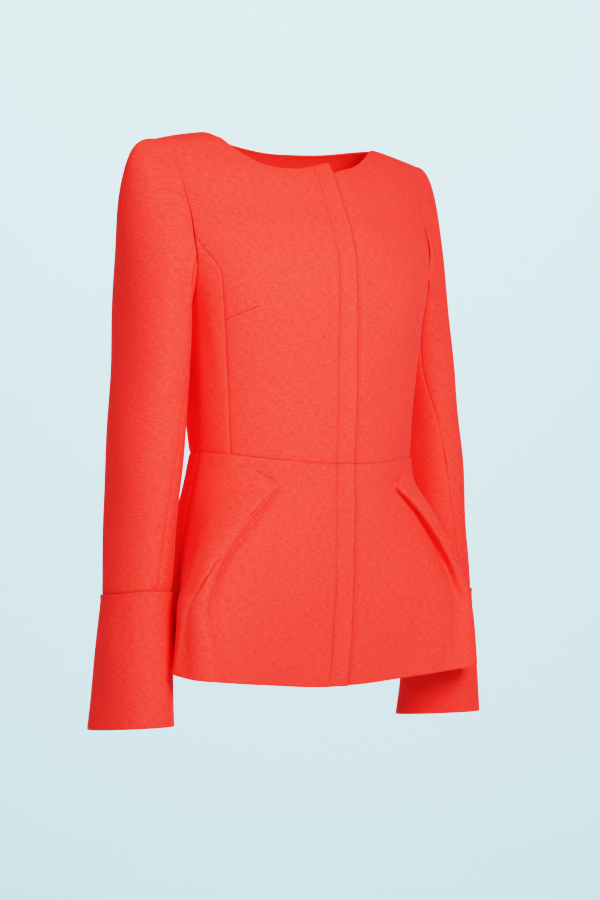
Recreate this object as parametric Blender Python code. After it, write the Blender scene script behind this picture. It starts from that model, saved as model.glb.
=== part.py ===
# Collarless fitted jacket with a folded peplum, hollow, as it hangs when worn.
# Metres, +Z up. The origin is the middle of the neck at the height of the neck ends of the shoulder
# seams. The front looks along -Y and the left side of the jacket is +X.

import bpy
import numpy as np

# Cloth and seams
CLOTH = 0.0018            # wall thickness of one layer of crepe
SEAM_GAP = 0.0003         # clearance between two pieces that are sewn together
COLOUR = (0.86, 0.055, 0.040, 1.0)
ROUGHNESS = 0.85
SHARP_ANGLE = 50.0        # edges of the cloth stay crisp, its curves are shaded smooth

# Neck and shoulders
NECK_HALF_WIDTH = 0.117
BAND_NECK_RISE = 0.0090   # the closing band stands up at the neck
BAND_RISE_RUN = 0.050
BACK_NECK_DEPTH = 0.010
SHOULDER_SLOPE = 0.23
SHOULDER_ROUNDING = 0.020
RIDGE_REACH = 0.60        # level at which the shoulder slope has faded out

# Front necklines, as the depth at each distance from the middle line; the right one is wider
NECK_COLUMNS = ("from_middle", "depth")
RIGHT_NECK_ROWS = (
    (0.0000, 0.0432),
    (0.0420, 0.0432),
    (0.0618, 0.0422),
    (0.0778, 0.0385),
    (0.0902, 0.0320),
    (0.1039, 0.0200),
    (0.1120, 0.0090),
    (0.1170, 0.0000),
)
LEFT_NECK_ROWS = (
    (0.0000, 0.0432),
    (0.0125, 0.0422),
    (0.0365, 0.0365),
    (0.0574, 0.0293),
    (0.0733, 0.0208),
    (0.0838, 0.0136),
    (0.1030, 0.0036),
    (0.1170, 0.0000),
)

# Closing
BAND_HALF_WIDTH = 0.0125
BAND_LIFT = CLOTH + SEAM_GAP
LIFT_REACH = 0.060        # the right front settles back onto the body over this width

# Waist and hem
WAIST_DIP = 0.0124        # the waist seam hangs lower at centre front than at the side
HEM_DIP = 0.0270

# Bodice sections, from just over the shoulder ridge down to the waist seam
BODICE_COLUMNS = ("level", "drop", "half_width", "front", "back", "middle", "front_square", "back_square")
BODICE_SECTIONS = (
    (-0.10, 0.0070, 0.186, -0.0260, -0.0300, 0.0000, 2.0, 2.0),
    (0.00, 0.0000, 0.186, 0.0000, 0.0000, 0.0000, 2.0, 2.0),
    (0.10, 0.0070, 0.186, 0.0260, 0.0300, 0.0000, 2.0, 2.0),
    (0.20, 0.0240, 0.185, 0.0460, 0.0520, 0.0000, 2.0, 2.0),
    (0.30, 0.0500, 0.183, 0.0640, 0.0700, -0.0020, 2.0, 2.0),
    (0.42, 0.0850, 0.182, 0.0805, 0.0850, -0.0030, 2.0, 2.0),
    (0.52, 0.1142, 0.179, 0.0940, 0.0930, -0.0047, 2.1, 2.1),
    (0.62, 0.1457, 0.167, 0.1000, 0.0980, -0.0070, 2.4, 2.2),
    (0.74, 0.1876, 0.153, 0.0986, 0.1000, -0.0100, 2.8, 2.3),
    (0.88, 0.2700, 0.1425, 0.0897, 0.0920, -0.0175, 2.4, 2.2),
    (1.00, 0.3560, 0.136, 0.0825, 0.0825, -0.0223, 2.15, 2.1),
)

# Seams of the bodice, as the distance from the middle line at each level
SEAM_COLUMNS = ("level", "front_seam", "back_seam")
SEAM_ROWS = (
    (0.60, 0.1460, 0.1300),
    (0.67, 0.1405, 0.1220),
    (0.74, 0.1375, 0.1150),
    (0.88, 0.1285, 0.1020),
    (1.00, 0.1220, 0.0950),
)

# Armhole, as a turn away from the side line; its round angle is 0 at the shoulder, 180 under the arm
ARMHOLE_FLOOR = 0.78      # level of the underarm point
ARMHOLE_TOP_TURN = 13.0
FRONT_SCOOP = 20.5
BACK_SCOOP = 19.0
SCOOP_LEAN = 0.60         # the scoop is deepest below the middle of the armhole
CROWN_CELL = 26.0         # round angle of the cell that ends at the shoulder
ROUND_HAIR = 0.001        # the shoulder end belongs to front or back, never exactly to neither
ARMHOLE_CROWN = 60.0      # round angle over which the armhole crosses the shoulder squarely
FRONT_JUNCTION = 113.0    # round angle where the princess seam meets the armhole
BACK_JUNCTION = -118.0
SLEEVE_CLEAR = 0.0006     # the sleeve head begins this far out from the armhole
UNDERARM_CLEAR = 0.0020   # and stands further off the side panel under the arm

# Peplum sections, from the waist seam (fall 0) to the hem (fall 1). The front corners stand wider than
# the side seams and are carried forward by wing.
PEPLUM_COLUMNS = (
    "fall", "drop", "corner_width", "side_width", "front", "back", "middle", "front_square", "wing"
)
PEPLUM_SECTIONS = (
    (0.00, 0.3560, 0.136, 0.1360, 0.0825, 0.0825, -0.0223, 2.15, 0.000),
    (0.11, 0.3825, 0.142, 0.1420, 0.0830, 0.0880, -0.0215, 2.0, 0.000),
    (0.25, 0.4155, 0.151, 0.1490, 0.0840, 0.0960, -0.0195, 2.5, 0.002),
    (0.50, 0.4735, 0.167, 0.1560, 0.0850, 0.1060, -0.0165, 3.6, 0.010),
    (0.75, 0.5300, 0.177, 0.1600, 0.0835, 0.1130, -0.0140, 5.5, 0.015),
    (1.00, 0.5865, 0.181, 0.1630, 0.0785, 0.1180, -0.0120, 8.0, 0.018),
)
BACK_SQUARE = 2.1
PATH_START = -20.0        # a section is followed from this angle to the side seam
SIDE_TURN = 90.0
TURN_HAIR = 0.01          # front and back stop this far short of the side line

# The folded pleat: two arcs that turn by the same angle, with a straight piece between them.
# Its edge lies at an angle from the front and stands off the plain peplum. Above the tip (fall 0.115)
# it is only a crease, then a flap that hangs over, then an open flute.
FOLD_COLUMNS = ("fall", "edge_at", "fold_turn", "stand_off", "straight", "bulge")
FOLD_ROWS = (
    (0.000, 61.7, 8.0, 0.0005, 0.0010, 0.0000),
    (0.060, 46.5, 35.0, 0.0016, 0.0012, 0.0005),
    (0.115, 34.0, 88.0, 0.0038, 0.0008, 0.0020),
    (0.170, 38.0, 145.0, 0.0080, 0.0030, 0.0035),
    (0.250, 43.0, 158.0, 0.0104, 0.0060, 0.0045),
    (0.330, 46.6, 155.0, 0.0118, 0.0076, 0.0052),
    (0.420, 49.7, 145.0, 0.0120, 0.0080, 0.0060),
    (0.530, 52.3, 122.0, 0.0125, 0.0070, 0.0060),
    (0.660, 53.0, 88.0, 0.0125, 0.0060, 0.0060),
    (0.800, 50.5, 58.0, 0.0120, 0.0060, 0.0040),
    (1.000, 46.0, 36.0, 0.0115, 0.0060, 0.0020),
)
BULGE_LEAN = 0.6          # the flap swells most just past its edge
FLAP_LEAN = 0.75          # and falls back to the side seam sooner than halfway

# Sleeve rings below the underarm, then the cuff
ARM_COLUMNS = ("height", "centre_x", "centre_y", "outer", "inner", "front", "back", "inner_square")
ARM_RINGS = (
    (-0.245, 0.1830, 0.0040, 0.0350, 0.0310, 0.0550, 0.0560, 2.8),
    (-0.343, 0.1920, 0.0000, 0.0355, 0.0330, 0.0535, 0.0510, 2.5),
    (-0.4515, 0.2025, -0.0030, 0.0335, 0.0340, 0.0495, 0.0440, 2.2),
    (-0.5165, 0.2088, -0.0055, 0.0315, 0.0335, 0.0470, 0.0410, 2.0),
)
CUFF_RINGS = (
    (-0.5165, 0.2088, -0.0055, 0.0327, 0.0347, 0.0482, 0.0422, 2.0),
    (-0.5700, 0.2095, -0.0045, 0.0357, 0.0360, 0.0530, 0.0460, 2.0),
    (-0.6200, 0.2105, -0.0030, 0.0388, 0.0385, 0.0570, 0.0505, 2.0),
    (-0.6610, 0.2110, -0.0010, 0.0418, 0.0415, 0.0605, 0.0550, 2.0),
)
RIGHT_SLEEVE_RISE = 0.007 # the right sleeve sits a little higher than the left from the elbow down
RISE_START = -0.20
RISE_RUN = 0.30
OUTER_SQUARE = 2.15
CAP_SPREAD = 0.140        # how far the sleeve head runs out from the shoulder before it turns down
CAP_BACK = 0.25           # the sleeve head leans back as it leaves the shoulder
CAP_FALL = 2.1
CAP_PART = 0.45           # share of the sleeve, armhole to cuff, that is sleeve head
SLEEVE_SEAM_COLUMNS = ("down", "front_seam", "back_seam")
SLEEVE_SEAMS = (
    (0.00, 128.0, 232.0),
    (0.45, 134.0, 236.0),
    (0.65, 109.0, 234.0),
    (0.85, 96.0, 230.0),
    (1.00, 91.0, 226.0),
)

# Numbers of cells in each piece
PATH_POINTS = 401         # points on a line that is only measured along
FRONT_CELLS = (11, 22)
FRONT_NECK_CELLS = 6      # cells of the front that end on the neckline, the rest on the shoulder
SEAM_CELLS = 12           # cells up the princess and back seams
SIDE_CELLS = 9
BACK_CELLS = 18
BACK_NECK_CELLS = 8
BAND_CELLS = (3, 36)
PEPLUM_CELLS = 16
PEPLUM_CROWD = 1.25       # levels lie closer together near the waist
FINER = 4                 # the folded front is worked out on a grid this many times finer
PEPLUM_FRONT_CELLS = 6
PEPLUM_SIDE_CELLS = 8
FOLD_ARC_CELLS = 4
PEPLUM_BACK_CELLS = (18, 9)
CAP_CELLS = 9
ARM_CELLS = 9
TOP_SLEEVE_CELLS = 20
UNDER_SLEEVE_CELLS = 9
CUFF_CELLS = (24, 5)


def column(rows, columns, name, at):
    """Smooth value of one named column of a table, read along its first column."""
    data = np.array(rows)
    knots = data[:, 0]
    values = data[:, columns.index(name)]
    steps = np.diff(knots)
    slopes = np.diff(values) / steps
    tangents = np.empty(len(knots))
    tangents[0] = slopes[0]
    tangents[-1] = slopes[-1]
    before = slopes[:-1]
    after = slopes[1:]
    same_way = before * after > 0.0
    weight_before = 2.0 * steps[1:] + steps[:-1]
    weight_after = steps[1:] + 2.0 * steps[:-1]
    safe_before = np.where(same_way, before, 1.0)
    safe_after = np.where(same_way, after, 1.0)
    mean = (weight_before + weight_after) / (weight_before / safe_before + weight_after / safe_after)
    tangents[1:-1] = np.where(same_way, mean, 0.0)
    at = np.clip(np.asarray(at, dtype=float), knots[0], knots[-1])
    cell = np.clip(np.searchsorted(knots, at, side="right") - 1, 0, len(steps) - 1)
    width = steps[cell]
    share = (at - knots[cell]) / width
    rest = 1.0 - share
    return (
        (1.0 + 2.0 * share) * rest ** 2 * values[cell]
        + share * rest ** 2 * width * tangents[cell]
        + share ** 2 * (3.0 - 2.0 * share) * values[cell + 1]
        - share ** 2 * rest * width * tangents[cell + 1]
    )


def smooth_step(share):
    """0 to 1 with flat ends."""
    share = np.clip(share, 0.0, 1.0)
    return share * share * (3.0 - 2.0 * share)


def unit_section(turn, front_square, back_square):
    """Point of a rounded unit section at an angle from the front, as sideways and forward shares."""
    sideways = np.sin(turn)
    forward = np.cos(turn)
    square = np.where(forward > 0.0, front_square, back_square)
    reach = (np.abs(sideways) ** square + np.abs(forward) ** square) ** (1.0 / square)
    return sideways / reach, forward / reach


def section_point(rows, columns, at, turn):
    """Plan position on a section of a table of sections."""
    sideways, forward = unit_section(
        turn, column(rows, columns, "front_square", at), column(rows, columns, "back_square", at)
    )
    depth = np.where(
        forward > 0.0, column(rows, columns, "front", at), column(rows, columns, "back", at)
    )
    x = column(rows, columns, "half_width", at) * sideways
    y = column(rows, columns, "middle", at) - depth * forward
    return x, y


def front_share(turn):
    """1 at centre front, falling to 0 at the side and staying there behind it."""
    return np.clip(np.cos(turn), 0.0, 1.0) ** 2


def shoulder_drop(x):
    """How far the shoulder line has fallen at a distance from the neck."""
    past = np.abs(x) - NECK_HALF_WIDTH
    return SHOULDER_SLOPE * 0.5 * (past + np.sqrt(past ** 2 + SHOULDER_ROUNDING ** 2))


def bodice_surface(turn, level):
    """Point on the middle of the bodice cloth."""
    x, y = section_point(BODICE_SECTIONS, BODICE_COLUMNS, level, turn)
    fade = 1.0 - smooth_step(np.abs(level) / RIDGE_REACH)
    z = -column(BODICE_SECTIONS, BODICE_COLUMNS, "drop", level) - shoulder_drop(x) * fade
    z = z - WAIST_DIP * front_share(turn) * np.clip(level, 0.0, 1.0) ** 4
    return np.stack([x, y, z], axis=-1)


def bodice_normal(turn, level):
    """Outward direction of the bodice cloth."""
    small = 0.002
    across = bodice_surface(turn + small, level) - bodice_surface(turn - small, level)
    down = bodice_surface(turn, level + small) - bodice_surface(turn, level - small)
    normal = np.cross(down, across)
    return normal / np.linalg.norm(normal, axis=-1, keepdims=True)


def turn_at(x, level, behind=False):
    """Angle from the front at which a level has a given distance from the middle line."""
    half_width = column(BODICE_SECTIONS, BODICE_COLUMNS, "half_width", level)
    square = column(BODICE_SECTIONS, BODICE_COLUMNS, "back_square" if behind else "front_square", level)
    share = np.clip(np.asarray(x) / half_width, -1.0, 1.0)
    turn = np.arctan2(share, (1.0 - np.abs(share) ** square) ** (1.0 / square))
    return np.pi - turn if behind else turn


def level_at_drop(drop):
    """Level at which the middle of the bodice has fallen by a given amount."""
    levels = np.linspace(0.0, 1.0, PATH_POINTS)
    drops = column(BODICE_SECTIONS, BODICE_COLUMNS, "drop", levels)
    return np.interp(drop, drops, levels)


def neck_drop(x, left):
    """Depth of the front neckline; x grows towards the panel's own side."""
    if left:
        return column(LEFT_NECK_ROWS, NECK_COLUMNS, "depth", np.abs(x))
    drop = column(RIGHT_NECK_ROWS, NECK_COLUMNS, "depth", np.abs(x))
    return drop - BAND_NECK_RISE * smooth_step((BAND_RISE_RUN - BAND_HALF_WIDTH - x) / BAND_RISE_RUN)


def armhole(round_angle):
    """Turn and level of the armhole at a round angle in degrees, front positive, back negative."""
    angle = np.radians(np.abs(round_angle))
    scoop = np.where(np.asarray(round_angle) > 0.0, FRONT_SCOOP, BACK_SCOOP)
    away = ARMHOLE_TOP_TURN * 0.5 * (1.0 + np.cos(angle))
    scoop = scoop * smooth_step(angle / np.radians(ARMHOLE_CROWN))
    away = away + scoop * np.sin(angle) * (1.0 - SCOOP_LEAN * np.cos(angle))
    side = np.where(np.asarray(round_angle) > 0.0, -1.0, 1.0)
    return np.radians(90.0 + side * away), ARMHOLE_FLOOR * 0.5 * (1.0 - np.cos(angle))


def armhole_edge(junction, cells):
    """Turn and level up an armhole, from its seam to the shoulder; the last cell crosses the crown."""
    side = np.sign(junction)
    angle = np.append(spread(abs(junction), CROWN_CELL, cells - 1), ROUND_HAIR)
    turn, level = armhole(side * angle)
    return np.stack([turn, level], axis=-1)


def seam_line(name, junction, cells):
    """Turn and level up a bodice seam, from the waist to its junction with the armhole."""
    end_turn, end_level = armhole(junction)
    level = 1.0 + (end_level - 1.0) * np.linspace(0.0, 1.0, cells + 1)
    x = column(SEAM_ROWS, SEAM_COLUMNS, name, level)
    turn = turn_at(x, level, behind=name == "back_seam")
    # the last stretch bends over to meet the armhole
    bend = smooth_step((SEAM_ROWS[1][0] - level) / (SEAM_ROWS[1][0] - end_level))
    turn = turn + (end_turn - turn) * bend
    return np.stack([turn, level], axis=-1)


def spread(start, end, cells):
    """Evenly spaced values as one column."""
    return np.linspace(start, end, cells + 1)


def risen(edge):
    """Share of the way up an edge, by its levels."""
    return (edge[:, 1] - edge[0, 1]) / (edge[-1, 1] - edge[0, 1])


def by_width(edge):
    """An edge given as turn and level, as distance from the middle line and level."""
    x, _ = section_point(BODICE_SECTIONS, BODICE_COLUMNS, edge[:, 1], edge[:, 0])
    return np.stack([x, edge[:, 1]], axis=-1)


def panel(bottom, top, left, right, behind=False):
    """Grid of turn and level that fills four edges, evenly spaced in width."""
    grid = between(*(by_width(edge) for edge in (bottom, top, left, right)))
    turn = turn_at(grid[..., 0], grid[..., 1], behind)
    return np.stack([turn, grid[..., 1]], axis=-1)


def between(bottom, top, left, right):
    """Grid that fills four edges, rows from bottom to top."""
    u = np.linspace(0.0, 1.0, len(bottom))[None, :, None]
    v = risen(right)[:, None, None]
    sides = (1.0 - u) * left[:, None, :] + u * right[:, None, :]
    ends = (1.0 - v) * bottom[None, :, :] + v * top[None, :, :]
    corners = (1.0 - v) * ((1.0 - u) * bottom[0] + u * bottom[-1])
    corners = corners + v * ((1.0 - u) * top[0] + u * top[-1])
    return sides + ends - corners


def pulled_in(grid):
    """The grid with its four edges drawn in squarely by half a seam gap."""
    drawn = grid.copy()
    for axis in (0, 1):
        lanes = np.moveaxis(grid, axis, 0)
        moved = np.moveaxis(drawn, axis, 0)
        for edge, inside in ((0, 1), (-1, -2)):
            along = np.gradient(lanes[edge], axis=0)
            along = along / np.linalg.norm(along, axis=-1, keepdims=True)
            way = lanes[inside] - lanes[edge]
            way = way - np.sum(way * along, axis=-1, keepdims=True) * along
            length = np.linalg.norm(way, axis=-1, keepdims=True)
            moved[edge] = moved[edge] + way / length * (0.5 * SEAM_GAP)
    return drawn


def grid_normals(grid, closed=False):
    """Outward directions of a grid of points, rows downwards and columns towards +turn."""
    if closed:
        across = np.roll(grid, -1, axis=1) - np.roll(grid, 1, axis=1)
    else:
        across = np.gradient(grid, axis=1)
    down = np.gradient(grid, axis=0)
    normal = np.cross(down, across)
    return normal / np.linalg.norm(normal, axis=-1, keepdims=True)


def level_row(normals, row):
    """Directions with one row laid flat, so that two walls meet squarely at a level seam."""
    normals = normals.copy()
    normals[row, :, 2] = 0.0
    normals[row] = normals[row] / np.linalg.norm(normals[row], axis=-1, keepdims=True)
    return normals


def wall(grid, normals, closed=False):
    """Vertices and triangles of a cloth wall with its middle on the grid."""
    rows, columns = grid.shape[:2]
    middle = grid.reshape(-1, 3)
    half = 0.5 * CLOTH * normals.reshape(-1, 3)
    shift = rows * columns
    wraps = columns if closed else columns - 1

    def corner(row, place):
        return row * columns + place % columns

    faces = []
    for row in range(rows - 1):
        for place in range(wraps):
            first = corner(row, place)
            second = corner(row + 1, place)
            third = corner(row + 1, place + 1)
            fourth = corner(row, place + 1)
            # each cell is split along its shorter diagonal
            falling = np.linalg.norm(middle[first] - middle[third])
            rising = np.linalg.norm(middle[second] - middle[fourth])
            if falling < rising:
                halves = ((first, second, third), (first, third, fourth))
            else:
                halves = ((first, second, fourth), (second, third, fourth))
            faces += halves
            faces += [tuple(shift + index for index in reversed(half_cell)) for half_cell in halves]
    edges = [(corner(0, place + 1), corner(0, place)) for place in range(wraps)]
    edges += [(corner(rows - 1, place), corner(rows - 1, place + 1)) for place in range(wraps)]
    if not closed:
        edges += [(corner(row, 0), corner(row + 1, 0)) for row in range(rows - 1)]
        edges += [(corner(row + 1, columns - 1), corner(row, columns - 1)) for row in range(rows - 1)]
    # two pieces that meet split their end faces the same way
    for first, second in edges:
        if first < second:
            faces += [(second, first, second + shift), (first, first + shift, second + shift)]
        else:
            faces += [(second, first, first + shift), (second, first + shift, second + shift)]
    return np.concatenate([middle + half, middle - half]), faces


def enclosed_volume(points, faces):
    """Signed volume inside a closed set of triangles."""
    first, second, third = (points[np.array(faces)[:, place]] for place in range(3))
    return np.einsum("ij,ij->i", first, np.cross(second, third)).sum() / 6.0


def mirrored(grid):
    """The same points on the other side of the middle line."""
    return grid * np.array([-1.0, 1.0, 1.0])


def cloth_material(name):
    """Matt coral-red crepe."""
    material = bpy.data.materials.new(name + "_crepe")
    material.use_nodes = True
    shader = material.node_tree.nodes["Principled BSDF"]
    shader.inputs["Base Color"].default_value = COLOUR
    shader.inputs["Roughness"].default_value = ROUGHNESS
    shader.inputs["Metallic"].default_value = 0.0
    material.diffuse_color = COLOUR
    return material


def add_piece(name, grid, normals, closed=False, flip=False):
    """One cut piece as a closed wall of cloth; flip makes the piece of the right side."""
    points, faces = wall(grid, normals, closed)
    if flip:
        points = mirrored(points)
    if enclosed_volume(points, faces) < 0.0:
        faces = [tuple(reversed(face)) for face in faces]
    mesh = bpy.data.meshes.new(name)
    mesh.from_pydata([tuple(point) for point in points], [], faces)
    mesh.update()
    mesh.shade_smooth()
    mesh.set_sharp_from_angle(angle=np.radians(SHARP_ANGLE))
    mesh.materials.append(cloth_material(name))
    piece = bpy.data.objects.new(name, mesh)
    bpy.context.scene.collection.objects.link(piece)
    return piece


def bodice_piece(name, domain, lift=None, flip=False):
    """A bodice panel from its grid of turn and level, with the cloth moved out by lift."""
    turn = domain[..., 0]
    level = domain[..., 1]
    normals = level_row(bodice_normal(turn, level), 0)
    grid = bodice_surface(turn, level)
    if lift is not None:
        grid = grid + lift[..., None] * normals
    add_piece(name, pulled_in(grid), normals, flip=flip)


def shoulder_corner(junction):
    """Turn and level of the outer end of the shoulder seam."""
    turn, level = armhole(ROUND_HAIR * np.sign(junction))
    return float(turn), float(level)


def neckline(start_x, left, cells):
    """Turn and level along the front neckline from the closing edge to the shoulder."""
    x = spread(start_x, NECK_HALF_WIDTH, cells)
    level = level_at_drop(neck_drop(x, left))
    return np.stack([turn_at(x, level), level], axis=-1)


def front_domain(start_x, left):
    """Grid of turn and level for a front, from its closing edge to princess seam and armhole."""
    across, up = FRONT_CELLS
    outer_seam = seam_line("front_seam", FRONT_JUNCTION, SEAM_CELLS)
    arm = armhole_edge(FRONT_JUNCTION, up - SEAM_CELLS)
    right = np.concatenate([outer_seam, arm[1:]])
    neck = neckline(start_x, left, FRONT_NECK_CELLS)
    corner = shoulder_corner(FRONT_JUNCTION)
    shoulder = np.stack(
        [
            spread(neck[-1, 0], corner[0], across - FRONT_NECK_CELLS),
            spread(neck[-1, 1], corner[1], across - FRONT_NECK_CELLS),
        ],
        axis=-1,
    )
    top = np.concatenate([neck, shoulder[1:]])
    edge_level = 1.0 + (top[0, 1] - 1.0) * risen(right)
    closing = np.stack([turn_at(start_x, edge_level), edge_level], axis=-1)
    waist_turn = spread(closing[0, 0], right[0, 0], across)
    waist = np.stack([waist_turn, np.ones(across + 1)], axis=-1)
    return panel(waist, top, closing, right)


def make_fronts():
    """Both fronts of the bodice; the right one is raised towards the closing band."""
    left_edge = -BAND_HALF_WIDTH
    bodice_piece("front_left", front_domain(left_edge, left=True))
    domain = front_domain(BAND_HALF_WIDTH, left=False)
    x = bodice_surface(domain[..., 0], domain[..., 1])[..., 0]
    lift = BAND_LIFT * (1.0 - smooth_step((x - BAND_HALF_WIDTH) / LIFT_REACH))
    bodice_piece("front_right", domain, lift=lift, flip=True)


def make_band_bodice():
    """Closing band of the bodice, on the points of the left front, one layer out."""
    across, up = BAND_CELLS
    x = spread(-BAND_HALF_WIDTH, BAND_HALF_WIDTH, across)[None, :]
    # seen from the right front, the neckline runs on past the middle line
    top = level_at_drop(neck_drop(-x, left=False))
    share = np.linspace(0.0, 1.0, up + 1)[:, None]
    level = 1.0 + (top - 1.0) * share
    domain = np.stack([turn_at(x + 0.0 * level, level), level], axis=-1)
    bodice_piece("band_bodice", domain, lift=np.full(level.shape, BAND_LIFT))


def make_sides():
    """Side panels under the arms."""
    left = seam_line("front_seam", FRONT_JUNCTION, SEAM_CELLS)
    right = seam_line("back_seam", BACK_JUNCTION, SEAM_CELLS)
    round_angle = spread(FRONT_JUNCTION, 360.0 + BACK_JUNCTION, SIDE_CELLS)
    round_angle = np.where(round_angle > 180.0, round_angle - 360.0, round_angle)
    arm_turn, arm_level = armhole(round_angle)
    top = np.stack([arm_turn, arm_level], axis=-1)
    waist = np.stack([spread(left[0, 0], right[0, 0], SIDE_CELLS), np.ones(SIDE_CELLS + 1)], axis=-1)
    domain = between(waist, top, left, right)
    bodice_piece("side_left", domain)
    bodice_piece("side_right", domain, flip=True)


def make_back():
    """Back of the bodice, from seam to seam, with both shoulders."""
    up = FRONT_CELLS[1]
    seam = seam_line("back_seam", BACK_JUNCTION, SEAM_CELLS)
    arm = armhole_edge(BACK_JUNCTION, up - SEAM_CELLS)
    left = np.concatenate([seam, arm[1:]])
    right = np.stack([2.0 * np.pi - left[:, 0], left[:, 1]], axis=-1)
    neck_x = NECK_HALF_WIDTH * np.cos(spread(0.0, np.pi, BACK_NECK_CELLS))
    neck_level = level_at_drop(BACK_NECK_DEPTH * (1.0 - (neck_x / NECK_HALF_WIDTH) ** 2))
    neck = np.stack([turn_at(neck_x, neck_level, behind=True), neck_level], axis=-1)
    shoulder_cells = (BACK_CELLS - BACK_NECK_CELLS) // 2
    corner = shoulder_corner(BACK_JUNCTION)
    shoulder = np.stack(
        [spread(corner[0], neck[0, 0], shoulder_cells), spread(corner[1], neck[0, 1], shoulder_cells)],
        axis=-1,
    )
    far = np.stack([2.0 * np.pi - shoulder[::-1, 0], shoulder[::-1, 1]], axis=-1)
    top = np.concatenate([shoulder, neck[1:], far[1:]])
    waist = np.stack([spread(left[0, 0], right[0, 0], BACK_CELLS), np.ones(BACK_CELLS + 1)], axis=-1)
    bodice_piece("back", panel(waist, top, left, right, behind=True))


def peplum_surface(turn, fall):
    """Point on the plain peplum, before its pleat is folded."""

    def value(name):
        return column(PEPLUM_SECTIONS, PEPLUM_COLUMNS, name, fall)

    sideways, forward = unit_section(turn, value("front_square"), BACK_SQUARE)
    in_front = np.cos(turn) > 0.0
    x = np.where(in_front, value("corner_width"), value("side_width")) * sideways
    y = value("middle") - np.where(in_front, value("front"), value("back")) * forward
    y = y - value("wing") * sideways ** 2 * smooth_step(2.0 * forward)
    dip = WAIST_DIP + (HEM_DIP - WAIST_DIP) * fall
    z = -value("drop") - dip * front_share(turn)
    return np.stack([x, y, z], axis=-1)


def peplum_path(fall):
    """Plan path of a plain peplum section over the front: turn, length, point and outward direction."""
    turn = np.radians(np.linspace(PATH_START, SIDE_TURN - TURN_HAIR, PATH_POINTS))
    points = peplum_surface(turn, np.full(turn.shape, fall))
    way = np.gradient(points[:, :2], axis=0)
    way = way / np.linalg.norm(way, axis=-1, keepdims=True)
    outward = np.stack([way[:, 1], -way[:, 0], np.zeros(len(turn))], axis=-1)
    steps = np.linalg.norm(np.diff(points[:, :2], axis=0), axis=-1)
    length = np.concatenate([[0.0], np.cumsum(steps)])
    return turn, length, points, outward


def on_path(path, place, stand_off):
    """Points at lengths along a path, moved out by stand_off."""
    _, length, points, outward = path
    spot = np.stack([np.interp(place, length, points[:, axis]) for axis in range(3)], axis=-1)
    way = np.stack([np.interp(place, length, outward[:, axis]) for axis in range(3)], axis=-1)
    return spot + way * np.asarray(stand_off)[..., None]


def fold_profile(turn, edge_rise, straight, cells):
    """Run and rise of the fold about its edge: an arc out, a straight piece and an arc back."""
    edge_angle = min(turn, 0.5 * np.pi)
    radius = edge_rise - straight * np.sin(turn)
    radius = radius / (1.0 - 2.0 * np.cos(turn) + np.cos(edge_angle))
    angle = np.linspace(0.0, turn, cells + 1)
    run = radius * np.sin(angle)
    rise = radius * (1.0 - np.cos(angle))
    along = np.linspace(0.0, straight, cells // FOLD_ARC_CELLS + 1)[1:-1]
    start_run = run[-1] + straight * np.cos(turn)
    start_rise = rise[-1] + straight * np.sin(turn)
    back = angle[::-1]
    run = np.concatenate(
        [run, run[-1] + along * np.cos(turn), start_run + radius * (np.sin(turn) - np.sin(back))]
    )
    rise = np.concatenate(
        [rise, rise[-1] + along * np.sin(turn), start_rise + radius * (np.cos(back) - np.cos(turn))]
    )
    edge = start_run + radius * (np.sin(turn) - np.sin(edge_angle))
    return run - edge, rise


def peplum_row(fall, start, finer):
    """One level of a peplum front: flat front, fold and flap down to the side seam."""
    front_cells = PEPLUM_FRONT_CELLS * finer
    side_cells = PEPLUM_SIDE_CELLS * finer
    path = peplum_path(fall)
    turn, length, points, _ = path

    def value(name):
        return float(column(FOLD_ROWS, FOLD_COLUMNS, name, fall))

    run, rise = fold_profile(
        np.radians(value("fold_turn")), value("stand_off"), value("straight"), FOLD_ARC_CELLS * finer
    )
    edge = np.interp(np.radians(value("edge_at")), turn, length)
    begin = np.interp(start, points[:, 0], length)
    front = np.linspace(begin, edge + run[0], front_cells + 1)
    side = np.linspace(edge + run[-1], length[-1], side_cells + 1)
    settle = np.linspace(0.0, 1.0, side_cells + 1)
    pinch = points[-1, 0] - float(column(PEPLUM_SECTIONS, PEPLUM_COLUMNS, "side_width", fall))
    flap = rise[-1] - (rise[-1] + pinch) * smooth_step(settle ** FLAP_LEAN)
    flap = flap + value("bulge") * np.sin(np.pi * settle ** BULGE_LEAN)
    place = np.concatenate([front[:-1], edge + run, side[1:]])
    stand_off = np.concatenate([np.zeros(front_cells), rise, flap[1:]])
    return on_path(path, place, stand_off)


def peplum_front(start):
    """Points and directions of a peplum front, with closer levels round the tip of the fold."""
    place = np.linspace(0.0, 1.0, PEPLUM_CELLS * FINER + 1)
    falls = place ** PEPLUM_CROWD
    fine = np.stack([peplum_row(fall, start, FINER) for fall in falls])
    normals = level_row(grid_normals(fine), 0)
    return fine[::FINER, ::FINER], normals[::FINER, ::FINER]


def make_peplum_fronts():
    """Front skirt pieces; the right one is raised towards the closing band."""
    left, normals = peplum_front(-BAND_HALF_WIDTH)
    add_piece("peplum_front_left", pulled_in(left), normals)
    right, normals = peplum_front(BAND_HALF_WIDTH)
    share = np.arange(right.shape[1]) / PEPLUM_FRONT_CELLS
    lift = BAND_LIFT * (1.0 - smooth_step(share))
    right = right + lift[None, :, None] * normals
    add_piece("peplum_front_right", pulled_in(right), normals, flip=True)


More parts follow.
